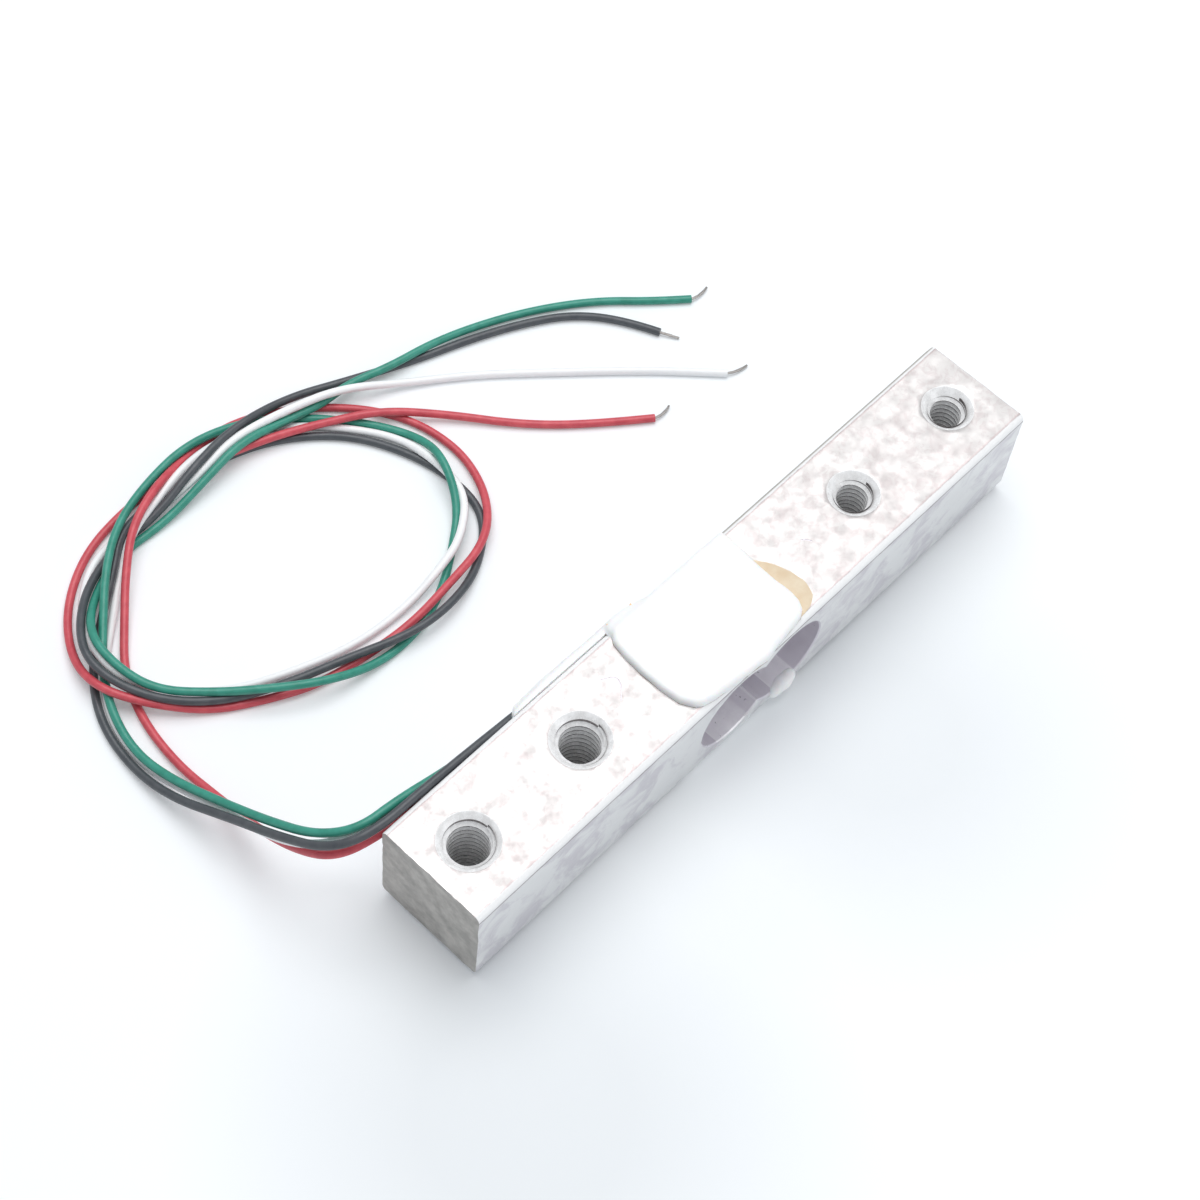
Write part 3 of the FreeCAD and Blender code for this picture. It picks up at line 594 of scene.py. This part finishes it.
def latheCutter(name, stations, sides):
    # stations are (height, radius) in mm, from the bottom up
    deselectAll()
    height, radius = stations[0]
    bpy.ops.mesh.primitive_circle_add(vertices=sides, radius=radius * mm, fill_type="NGON",
                                      location=(0, 0, 0))
    cutter = bpy.context.object
    cutter.name = name
    bpy.ops.object.mode_set(mode="EDIT")
    bpy.ops.mesh.select_all(action="SELECT")
    bpy.ops.transform.translate(value=(0, 0, height * mm))
    for nextHeight, nextRadius in stations[1:]:
        rise = {"value": (0, 0, (nextHeight - height) * mm)}
        bpy.ops.mesh.extrude_region_move(TRANSFORM_OT_translate=rise)
        grow = nextRadius / radius
        bpy.ops.transform.resize(value=(grow, grow, 1), center_override=(0, 0, nextHeight * mm))
        height, radius = nextHeight, nextRadius
    bpy.ops.mesh.select_all(action="SELECT")
    bpy.ops.mesh.normals_make_consistent(inside=False)
    bpy.ops.object.mode_set(mode="OBJECT")
    return cutter


def holeCutter(hole):
    low, high = [corner.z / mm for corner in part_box("beam")]
    sink, wall = hole["sink"] / 2, hole["major"] / 2
    rim = beamSizes["rimStep"]
    deep = sink - wall
    stations = [
        (low - 1, sink + 2 * rim), (low, sink + 2 * rim), (low + rim, sink), (low + rim + deep, wall),
        (high - rim - deep, wall), (high - rim, sink), (high, sink + 2 * rim), (high + 1, sink + 2 * rim),
    ]
    cutter = latheCutter("hole_cutter", stations, beamSizes["holeSides"])
    cutter.location = (hole["x"] * mm, 0, 0)
    applyPlace(cutter)
    return cutter


def boreCutter(x):
    low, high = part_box("beam")
    half = high.y / mm
    rim = beamSizes["boreRim"]
    radius = beamSizes["boreRadius"]
    stations = [(-half - 1, radius + rim), (-half, radius + rim), (-half + rim, radius), (half - rim, radius),
                (half, radius + rim), (half + 1, radius + rim)]
    cutter = latheCutter("bore_cutter", stations, beamSizes["boreSides"])
    cutter.rotation_euler = (math.radians(90), 0, 0)
    cutter.location = (x * mm, 0, (low.z + high.z) / 2)
    applyPlace(cutter)
    return cutter


def scratchCutter(points):
    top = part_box("beam")[1].z
    line = [(x * mm, y * mm, top) for x, y in points]
    return toMesh(addTube("scratch", [line], beamSizes["scratch"], beamSizes["scratchAlongSteps"],
                          beamSizes["scratchRoundSteps"]))


def carve(piece, cutter, finish, solver="EXACT"):
    wear(cutter, finish)
    modifier = piece.modifiers.new("cut", "BOOLEAN")
    modifier.operation = "DIFFERENCE"
    modifier.solver = solver
    if solver == "EXACT":
        modifier.material_mode = "TRANSFER"
    modifier.object = cutter
    applyModifiers(piece)
    bpy.data.objects.remove(cutter)


def threadRidge(hole, finish):
    # one ridge wound down the hole, cut back by the countersinks at both ends
    low, high = [corner.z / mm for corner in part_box("beam")]
    sink, root, crest = hole["sink"] / 2, hole["major"] / 2, hole["minor"] / 2
    pitch = hole["pitch"]
    start = low + sink - root
    turns = int((high - low - 2 * (sink - root)) / pitch)
    deselectAll()
    bpy.ops.mesh.primitive_circle_add(vertices=4, radius=mm, fill_type="NOTHING", location=(0, 0, 0))
    ridge = bpy.context.object
    ridge.name = "thread_ridge"
    deep = root + beamSizes["threadRoot"]
    foot, tip = beamSizes["threadFoot"], beamSizes["threadTip"]
    outline = [(deep, foot), (crest, tip), (crest, -tip), (deep, -foot)]
    for vertex, (radius, share) in zip(ridge.data.vertices, outline):
        vertex.co = (radius * mm, 0, (start + (share + 0.5) * pitch) * mm)
    screw = ridge.modifiers.new("turns", "SCREW")
    screw.axis = "Z"
    screw.angle = math.tau
    screw.screw_offset = pitch * mm
    screw.iterations = turns
    screw.steps = screw.render_steps = beamSizes["threadSteps"]
    applyModifiers(ridge)
    bpy.ops.object.mode_set(mode="EDIT")
    bpy.ops.mesh.select_all(action="SELECT")
    bpy.ops.mesh.remove_doubles(threshold=1e-7)
    bpy.ops.mesh.fill_holes(sides=4)
    bpy.ops.mesh.select_all(action="SELECT")
    bpy.ops.mesh.normals_make_consistent(inside=False)
    bpy.ops.object.mode_set(mode="OBJECT")
    for vertex in ridge.data.vertices:
        x, y, z = vertex.co / mm
        radius = math.hypot(x, y)
        cone = sink - min(z - low, high - z) + beamSizes["threadRoot"] / 2
        if radius < cone:
            grow = min(cone, deep) / radius
            vertex.co.x *= grow
            vertex.co.y *= grow
    ridge.location = (hole["x"] * mm, 0, 0)
    applyPlace(ridge)
    wear(ridge, finish)
    return ridge


beamFinish = {
    "topPlain": (0.62, 0.60, 0.59),
    "topStain": (0.54, 0.495, 0.49),
    "topVein": (0.50, 0.43, 0.43),
    "edgeLine": (0.58, 0.47, 0.47),
    "edgeBurrAndSheen": (0.98, 0.98, 0.98),
    "farEdgeDarker": (0.30, 0.27, 0.22),
    "sidePlain": (0.84, 0.84, 0.84),
    "sideStain": (0.70, 0.68, 0.71),
    "sideRoundingShade": (0.28, 0.24, 0.25),
    "sawnDark": (0.40, 0.385, 0.365),
    "sawnLight": (0.58, 0.56, 0.53),
    "boreDark": (0.74, 0.71, 0.76),
    "boreReflection": (1.0, 0.98, 1.0),
    "boreStreak": (0.60, 0.55, 0.62),
    "boreReflectionMottle": (1.0, 1.0, 1.0),
    "threadGrooveShade": (0.22, 0.20, 0.20),
    "cutGrey": (0.86, 0.855, 0.85),
    "cutBright": (0.99, 0.99, 0.99),
}

# Painted reflection bands along the bores, by x: (x in mm, how bright), with a thin painted highlight line
# between them.
boreReflectionBands = (
    (-5.94, 0.0), (-5.92, 1.0), (-5.82, 1.0), (-5.76, 0.62), (-1.5, 0.62), (-1.3, 0.25),
    (-0.2, 0.25), (-0.18, 0.85), (-0.06, 0.85), (-0.04, 0.0), (2.68, 0.0), (2.7, 0.9),
    (2.82, 0.9), (2.86, 0.62), (5.7, 0.62), (5.72, 1.0), (5.84, 1.0), (5.86, 0.0),
)


def drawnSkin():
    # drawn and tumbled aluminium: almost white, with faint pink and grey stains
    material = newMaterial("drawn_aluminium", beamFinish["topPlain"], 0.42, 0.8)
    paint = Painter(material)
    stain = paint.clouds(260, detail=6, roughness=0.62, distortion=0.6)
    stain = paint.ramp(stain, (0.46, 0.0), (0.60, 1.0))
    veins = paint.clouds(900, detail=5, roughness=0.7, distortion=1.2)
    veins = paint.ramp(veins, (0.50, 0.0), (0.58, 1.0))
    top = paint.mix(beamFinish["topPlain"], beamFinish["topStain"], paint.times(stain, 0.5))
    top = paint.mix(top, beamFinish["topVein"], paint.times(veins, 0.35))
    # across runs from -1 at the near side of the beam to 1 at its far side
    across = paint.times(paint.axis("Y"), 1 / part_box("beam")[1].y)
    ragged = paint.plus(paint.maths("ABSOLUTE", across), paint.times(paint.clouds(800, detail=3), 0.03))
    stainedLine = paint.ramp(ragged, (0.885, 0.0), (0.90, 1.0), (0.915, 1.0), (0.93, 0.0))
    # a near-white line along the rounded long edges, with less metal: partly a real burr, partly a painted
    # highlight
    burrAndSheen = paint.ramp(ragged, (0.915, 0.0), (0.935, 1.0))
    top = paint.mix(top, beamFinish["edgeLine"], paint.times(stainedLine, 0.55))
    top = paint.mix(top, beamFinish["edgeBurrAndSheen"], burrAndSheen)
    # past the sealant the far long edge is painted darker
    beyond = paint.ramp(paint.times(paint.axis("X"), 25.0), (0.14, 0.0), (0.18, 1.0))
    farEdgeDarkening = paint.times(paint.ramp(across, (0.935, 0.0), (0.965, 1.0)), beyond)
    top = paint.mix(top, beamFinish["farEdgeDarker"], paint.times(farEdgeDarkening, 0.85))
    # the sides get a lighter base than the top, set for how bright each face comes out under the lamps:
    # painted light; the stains are their own
    sides = paint.mix(beamFinish["sidePlain"], beamFinish["sideStain"], stain)
    # a ragged dark line of painted shade runs below the rounded edge: height is 0 at 11.5 mm and 1 at 13.5 mm
    height = paint.plus(paint.times(paint.axis("Z"), 500.0), paint.times(paint.clouds(900, detail=3), 0.12))
    height = paint.maths("SUBTRACT", height, 5.75)
    roundingShadeLine = paint.ramp(height, (0.585, 0.0), (0.64, 1.0), (0.71, 1.0), (0.76, 0.0))
    sides = paint.mix(sides, beamFinish["sideRoundingShade"], paint.times(roundingShadeLine, 0.8))
    upward = paint.ramp(paint.facing("Z"), (0.10, 0.0), (0.22, 1.0))
    paint.colour(paint.mix(sides, top, upward))
    paint.metallic(paint.maths("SUBTRACT", 0.8, paint.times(paint.times(burrAndSheen, upward), 0.75)))
    paint.rough(paint.ramp(paint.clouds(700, detail=5), (0.35, 0.34), (0.68, 0.55)))
    drawn = paint.stretched((0.05, 1, 1))
    paint.bump((paint.clouds(420, detail=3), 0.05, 0.30),
               (paint.clouds(5200, detail=2, vector=drawn), 0.01, 0.35),
               (paint.clouds(6000, detail=2), 0.008, 0.4))
    return material


def sawnEnd():
    # rough grey sawn face with short upright marks; its dark grey is partly the sawn metal's own and partly
    # painted shade of the end that faces away from the light
    material = newMaterial("sawn_aluminium", beamFinish["sawnDark"], 0.55, 0.75)
    paint = Painter(material)
    blotches = paint.ramp(paint.clouds(520, detail=5, roughness=0.65), (0.36, 0.0), (0.66, 1.0))
    paint.colour(paint.mix(beamFinish["sawnDark"], beamFinish["sawnLight"], blotches))
    paint.rough(paint.ramp(paint.clouds(1300, detail=4), (0.3, 0.45), (0.7, 0.65)))
    marks = paint.stretched((1, 1, 0.12), turn=(math.radians(8), 0, 0))
    paint.bump((paint.clouds(700, detail=4), 0.10, 0.45),
               (paint.clouds(3600, detail=3, vector=marks), 0.02, 0.6))
    return material


def boredWall():
    # machined wall of the bores, with painted reflection bands and fine lines across the beam
    material = newMaterial("bored_aluminium", beamFinish["boreDark"], 0.42, 0.45)
    paint = Painter(material)
    along = paint.stretched((1, 0.04, 1))
    streaks = paint.clouds(620, detail=3, roughness=0.6, vector=along)
    streaks = paint.ramp(streaks, (0.40, 0.0), (0.62, 1.0))
    reflectionMottle = paint.clouds(760, detail=5, roughness=0.7, distortion=1.0)
    reflectionMottle = paint.ramp(reflectionMottle, (0.45, 0.0), (0.62, 1.0))
    # station is 0 at x = -10 mm and 1 at x = 10 mm
    station = paint.plus(paint.times(paint.axis("X"), 50.0), 0.5)
    # painted reflection: the bands follow how the curved wall faces, with a painted highlight at each ridge
    reflectionBands = paint.ramp(station, *[(x / 20 + 0.5, bright) for x, bright in boreReflectionBands])
    wall = paint.mix(beamFinish["boreDark"], beamFinish["boreReflection"], paint.maths("POWER", reflectionBands, 0.5))
    wall = paint.mix(wall, beamFinish["boreStreak"], paint.times(streaks, 0.22))
    # white mottling only inside the reflection bands: painted reflection
    paint.colour(paint.mix(wall, beamFinish["boreReflectionMottle"], paint.times(reflectionMottle, paint.times(reflectionBands, 0.7))))
    paint.rough(paint.ramp(paint.clouds(900, detail=3), (0.3, 0.26), (0.7, 0.45)))
    paint.bump((paint.clouds(5000, detail=2, vector=along), 0.004, 0.3))
    return material


def tappedWall():
    # cut metal of the holes: cones and thread flanks are near-white with little metal, a painted sheen; the
    # sideways-facing thread bottoms get painted shade
    material = newMaterial("tapped_aluminium", beamFinish["cutBright"], 0.24, 0.95)
    paint = Painter(material)
    bright = paint.ramp(paint.maths("ABSOLUTE", paint.facing("Z")), (0.25, 0.0), (0.50, 1.0))
    cloud = paint.ramp(paint.clouds(1200, detail=4), (0.4, 0.0), (0.6, 1.0))
    metal = paint.mix(beamFinish["cutGrey"], beamFinish["cutBright"], cloud)
    paint.colour(paint.mix(beamFinish["threadGrooveShade"], metal, bright))
    paint.metallic(paint.ramp(bright, (0.0, 0.95), (1.0, 0.12)))
    paint.rough(paint.ramp(paint.clouds(1600, detail=3), (0.3, 0.18), (0.7, 0.36)))
    paint.bump((paint.clouds(4200, detail=3), 0.012, 0.5))
    return material


def addBeam():
    skin, sawn, bored, tapped = drawnSkin(), sawnEnd(), boredWall(), tappedWall()
    bar = wornBar()
    wear(bar, skin, sawn)
    low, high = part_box("beam")
    for face in bar.data.polygons:
        if abs(face.normal.x) > 0.9:
            face.material_index = 1
    for x in (-beamSizes["boreOffset"], beamSizes["boreOffset"]):
        carve(bar, boreCutter(x), bored)
    for hole in threadedHoles:
        carve(bar, holeCutter(hole), tapped)
    for points in scratches.values():
        carve(bar, scratchCutter(points), bored)
    ridges = [threadRidge(hole, tapped) for hole in threadedHoles]
    bar = joinPieces([bar, *ridges], "beam_machined")
    bpy.ops.object.shade_smooth_by_angle(angle=math.radians(beamSizes["sharpAngle"]))
    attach(bar, "root")
    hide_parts("beam")
    print("beam machined:", len(bar.data.polygons), "faces")


addBeam()

# Sealant: white silicone over the top gauges, down the back over the terminals, and under the beam.

sealantSizes = {
    "voxel": 0.16,
    "smooth": 9,
    "seat": 0.02,
    "lumps": 0.10,
    "broadLumps": 0.33,
    "broadShare": 0.7,
    "fineLumps": 0.9,
    "fineShare": 0.3,
    "rimSteps": 4,
    "curveSteps": 8,
    "dropSegments": 32,
    "dropRings": 20,
    "speck": 1.0,
    "sharpAngle": 50,
}

# Each form has its outline seen from above, its two levels and the width of its rounding, in mm.
sealantForms = {
    "patch": {
        "outline": [
            (-9.3, 6.2), (-10.35, 4.9), (-10.6, 3.2), (-10.8, 0.8), (-10.75, -1.6), (-10.5, -3.95),
            (-9.75, -5.25), (-9.1, -5.75), (-7.8, -6.1), (-4.5, -6.45), (-1.0, -6.8), (1.6, -6.4),
            (5.0, -5.95), (5.75, -5.5), (6.3, -4.6), (6.5, -3.35), (6.4, -1.2), (6.45, 1.5), (6.65, 2.95),
            (6.7, 5.1), (6.6, 6.2),
        ],
        "low": 12.9, "high": 14.35, "rounding": 0.5,
    },
    "strip": {
        "outline": [
            (-22.4, 5.6), (-22.4, 6.6), (-21.6, 7.4), (-19.8, 8.5), (-18.0, 8.75), (-7.0, 8.75),
            (-4.6, 7.9), (-2.4, 6.9), (-0.8, 6.5), (-0.8, 5.6),
        ],
        "low": 4.6, "high": 9.0, "rounding": 1.2,
    },
    "stripBody": {
        "outline": [
            (-22.5, 5.6), (-22.5, 6.5), (-21.5, 7.2), (-19.6, 7.9), (-18.0, 8.1), (-7.0, 8.1),
            (-4.6, 7.4), (-2.4, 6.75), (-0.75, 6.5), (-0.75, 5.6),
        ],
        "low": 3.0, "high": 11.0, "rounding": 1.0,
    },
    "stripFoot": {
        "outline": [
            (-22.4, 5.6), (-22.4, 6.8), (-21.6, 7.4), (-18.0, 7.6), (-7.0, 7.5), (-4.0, 6.9), (-1.0, 6.5),
            (-1.0, 5.6),
        ],
        "low": 1.5, "high": 12.7, "rounding": 0.5,
    },
    "stripTop": {
        "outline": [
            (-22.7, 5.6), (-22.65, 6.3), (-22.3, 6.75), (-20.9, 7.0), (-18.0, 7.1), (-14.6, 7.2),
            (-11.7, 7.15), (-9.0, 7.2), (-6.7, 6.9), (-3.9, 6.35), (-3.5, 5.6),
        ],
        "low": 8.0, "high": 13.42, "rounding": 0.35,
    },
    "wrap": {
        "outline": [
            (-9.7, 4.6), (-9.75, 6.35), (-9.3, 6.85), (-8.5, 7.1), (-6.7, 7.0), (-4.4, 6.4), (-4.0, 4.6),
        ],
        "low": 11.6, "high": 14.08, "rounding": 0.5,
    },
    "pad": {
        "outline": [
            (-10.7, -4.6), (-10.2, -5.7), (-9.0, -6.1), (4.6, -6.1), (5.8, -5.7), (6.3, -4.6), (6.3, 4.6),
            (5.8, 5.7), (4.6, 6.1), (-9.0, 6.1), (-10.2, 5.7), (-10.7, 4.6),
        ],
        "low": 0.02, "high": 1.1, "rounding": 0.25,
    },
    "lowerWrap": {
        "outline": [
            (-9.9, 4.6), (-9.8, 6.6), (-9.2, 7.2), (-5.6, 7.2), (-5.0, 6.6), (-4.9, 4.6),
        ],
        "low": 0.05, "high": 2.6, "rounding": 0.8,
    },
}

# Drop on the lower lip of the opening: (place, radii) in mm.
lipDrops = [
    ((3.1, -6.35, 1.90), (1.15, 0.62, 0.65)),
    ((4.2, -6.30, 2.10), (1.40, 0.80, 0.85)),
    ((5.0, -6.28, 2.45), (0.85, 0.70, 0.70)),
]


def roundedForm(name, outline, low, high, rounding, smooth=False):
    # an outline seen from above, raised from low to high, with both its rims rounded
    data = bpy.data.curves.new(name, "CURVE")
    data.dimensions = "2D"
    data.fill_mode = "BOTH"
    line = data.splines.new("NURBS" if smooth else "POLY")
    line.points.add(len(outline) - 1)
    for target, (x, y) in zip(line.points, outline):
        target.co = (x * mm, y * mm, 0, 1)
    line.use_cyclic_u = True
    if smooth:
        line.order_u = 3
        line.resolution_u = sealantSizes["curveSteps"]
    data.extrude = ((high - low) / 2 - rounding) * mm
    data.bevel_depth = rounding * mm
    data.bevel_resolution = sealantSizes["rimSteps"]
    data.offset = -rounding * mm
    form = bpy.data.objects.new(name, data)
    bpy.context.scene.collection.objects.link(form)
    form.location = (0, 0, (low + high) / 2 * mm)
    form = toMesh(form)
    applyPlace(form)
    return form


def meltTogether(piece, voxel, rounds):
    remesh = piece.modifiers.new("melt", "REMESH")
    remesh.mode = "VOXEL"
    remesh.voxel_size = voxel * mm
    remesh.use_smooth_shade = True
    relax = piece.modifiers.new("relax", "SMOOTH")
    relax.factor = 0.5
    relax.iterations = rounds
    applyModifiers(piece)


def silicone():
    material = newMaterial("white_silicone", (0.93, 0.93, 0.92), 0.38, Subsurface_Weight=0.15,
                           Subsurface_Scale=0.001, Coat_Weight=0.1, Coat_Roughness=0.3)
    paint = Painter(material)
    cloud = paint.ramp(paint.clouds(500, detail=3), (0.35, 0.0), (0.7, 1.0))
    paint.colour(paint.mix((0.985, 0.985, 0.985), (0.955, 0.955, 0.95), cloud))
    paint.rough(paint.ramp(paint.clouds(1100, detail=3), (0.3, 0.30), (0.7, 0.46)))
    paint.bump((paint.clouds(380, detail=2), 0.10, 0.3), (paint.clouds(3600, detail=2), 0.01, 0.25))
    return material


def deleteSpecks(piece):
    # separates the loose parts and keeps those of a real size
    pick(piece)
    name = piece.name
    bpy.ops.object.mode_set(mode="EDIT")
    bpy.ops.mesh.select_all(action="SELECT")
    bpy.ops.mesh.separate(type="LOOSE")
    bpy.ops.object.mode_set(mode="OBJECT")
    parts = sorted(bpy.context.selected_objects, key=lambda part: len(part.data.vertices))
    for part in parts[:-1]:
        if max(part.dimensions) < sealantSizes["speck"] * mm:
            parts.remove(part)
            bpy.data.objects.remove(part)
    return joinPieces(parts[::-1], name)


def addSealant():
    forms = [roundedForm(name, **form) for name, form in sealantForms.items()]
    for place, radii in lipDrops:
        deselectAll()
        bpy.ops.mesh.primitive_uv_sphere_add(
            segments=sealantSizes["dropSegments"], ring_count=sealantSizes["dropRings"], radius=1,
            location=[x * mm for x in place])
        drop = bpy.context.object
        drop.scale = [x * mm for x in radii]
        applyPlace(drop)
        forms.append(drop)
    sealant = joinPieces(forms, "sealant_silicone")
    meltTogether(sealant, sealantSizes["voxel"], sealantSizes["smooth"])
    low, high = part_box("beam")
    normals = [vertex.normal.copy() for vertex in sealant.data.vertices]
    for vertex, normal in zip(sealant.data.vertices, normals):
        spot = vertex.co / mm
        push = noise.noise(spot * sealantSizes["broadLumps"]) * sealantSizes["broadShare"]
        push += noise.noise(spot * sealantSizes["fineLumps"]) * sealantSizes["fineShare"]
        vertex.co += normal * push * sealantSizes["lumps"] * mm
    core = blank("beam_core")
    seat = sealantSizes["seat"] * mm
    for vertex in core.data.vertices:
        for axis in range(3):
            vertex.co[axis] -= math.copysign(seat, vertex.co[axis] - (low[axis] + high[axis]) / 2)
    white = silicone()
    for x in (-beamSizes["boreOffset"], beamSizes["boreOffset"]):
        carve(core, boreCutter(x), white)
    carve(sealant, core, white, "MANIFOLD")
    sealant = deleteSpecks(sealant)
    wear(sealant, white)
    pick(sealant)
    bpy.ops.object.shade_smooth_by_angle(angle=math.radians(sealantSizes["sharpAngle"]))
    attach(sealant, "root")
    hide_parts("sealant")
    print("sealant laid:", len(sealant.data.polygons), "faces")


addSealant()

# Adhesive: the amber spread that shows past the sealant, and a thin brown ring of painted contact shadow
# round the sealant patch.

adhesiveSizes = {
    "level": 13.495,
    "height": 0.055,
    "rounding": 0.01,
    "shadowRingLevel": 13.49,
    "shadowRingHeight": 0.035,
    "shadowRingRounding": 0.005,
    "ragged": 0.09,
    "raggedScale": 1.3,
    "amberDark": (0.70, 0.54, 0.35),
    "amberLight": (0.78, 0.655, 0.475),
    "brown": (0.34, 0.25, 0.19),
}

spreadOutline = [
    (5.34, -5.89), (6.66, -5.73), (7.5, -5.35), (8.1, -4.75), (8.5, -3.67), (8.55, -2.6), (8.3, -1.3),
    (7.75, 0.2), (7.2, 1.1), (6.75, 1.75), (6.3, 2.3), (4.6, 2.2), (-8.6, 2.0), (-9.4, 0.6), (-9.4, -4.4),
    (-8.4, -5.6), (-6.8, -5.9),
]


def addAdhesive():
    amber = newMaterial("amber_adhesive", adhesiveSizes["amberLight"], 0.42,
                        Coat_Weight=0.2, Coat_Roughness=0.3)
    paint = Painter(amber)
    cloud = paint.ramp(paint.clouds(620, detail=4), (0.35, 0.0), (0.68, 1.0))
    paint.colour(paint.mix(adhesiveSizes["amberDark"], adhesiveSizes["amberLight"], cloud))
    paint.bump((paint.clouds(2600, detail=3), 0.01, 0.4))
    level, shadowRingLevel = adhesiveSizes["level"], adhesiveSizes["shadowRingLevel"]
    top, shadowRingTop = level + adhesiveSizes["height"], shadowRingLevel + adhesiveSizes["shadowRingHeight"]
    spread = roundedForm("adhesive_spread", spreadOutline, level, top, adhesiveSizes["rounding"], smooth=True)
    for vertex in spread.data.vertices:
        spot = Vector((vertex.co.x, vertex.co.y, 0)) / mm
        shift = noise.noise_vector(spot * adhesiveSizes["raggedScale"]) * adhesiveSizes["ragged"]
        vertex.co += Vector((shift.x, shift.y, 0)) * mm
    wear(spread, amber)
    patch = sealantForms["patch"]["outline"]
    # painted contact shadow: a thin brown ring round the rim of the sealant patch
    contactShadowRing = roundedForm("contactShadowRing", patch, shadowRingLevel, shadowRingTop, adhesiveSizes["shadowRingRounding"])
    wear(contactShadowRing, newMaterial("painted_contact_shadow", adhesiveSizes["brown"], 0.5))
    spread = joinPieces([spread, contactShadowRing], "adhesive_spread")
    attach(spread, "root")
    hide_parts("adhesive_top")
    print("adhesive spread")


addAdhesive()

# Inner pieces, mostly hidden under the sealant: their own solids with the finish of each.

innerFinishes = {
    "adhesive": ((0.80, 0.63, 0.40), 0.45, 0.0),
    "gauge_backing": ((0.62, 0.36, 0.10), 0.45, 0.0),
    "gauge_foil": ((0.66, 0.58, 0.46), 0.35, 0.9),
    "terminal_board": ((0.10, 0.30, 0.14), 0.5, 0.0),
    "terminal_pads": ((0.80, 0.45, 0.26), 0.32, 1.0),
    "inner_wire": ((0.70, 0.69, 0.67), 0.35, 1.0),
    "gauge_leads": ((0.72, 0.40, 0.22), 0.35, 1.0),
    "terminal_solder": ((0.72, 0.72, 0.73), 0.25, 1.0),
    "gauge_solder": ((0.72, 0.72, 0.73), 0.25, 1.0),
}


def finishInner():
    finishes = {name: newMaterial(name + "_finish", *values) for name, values in innerFinishes.items()}
    for name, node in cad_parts.items():
        for start, finish in finishes.items():
            if name.startswith(start):
                wear(node, finish)


finishInner()
print("inner pieces finished")
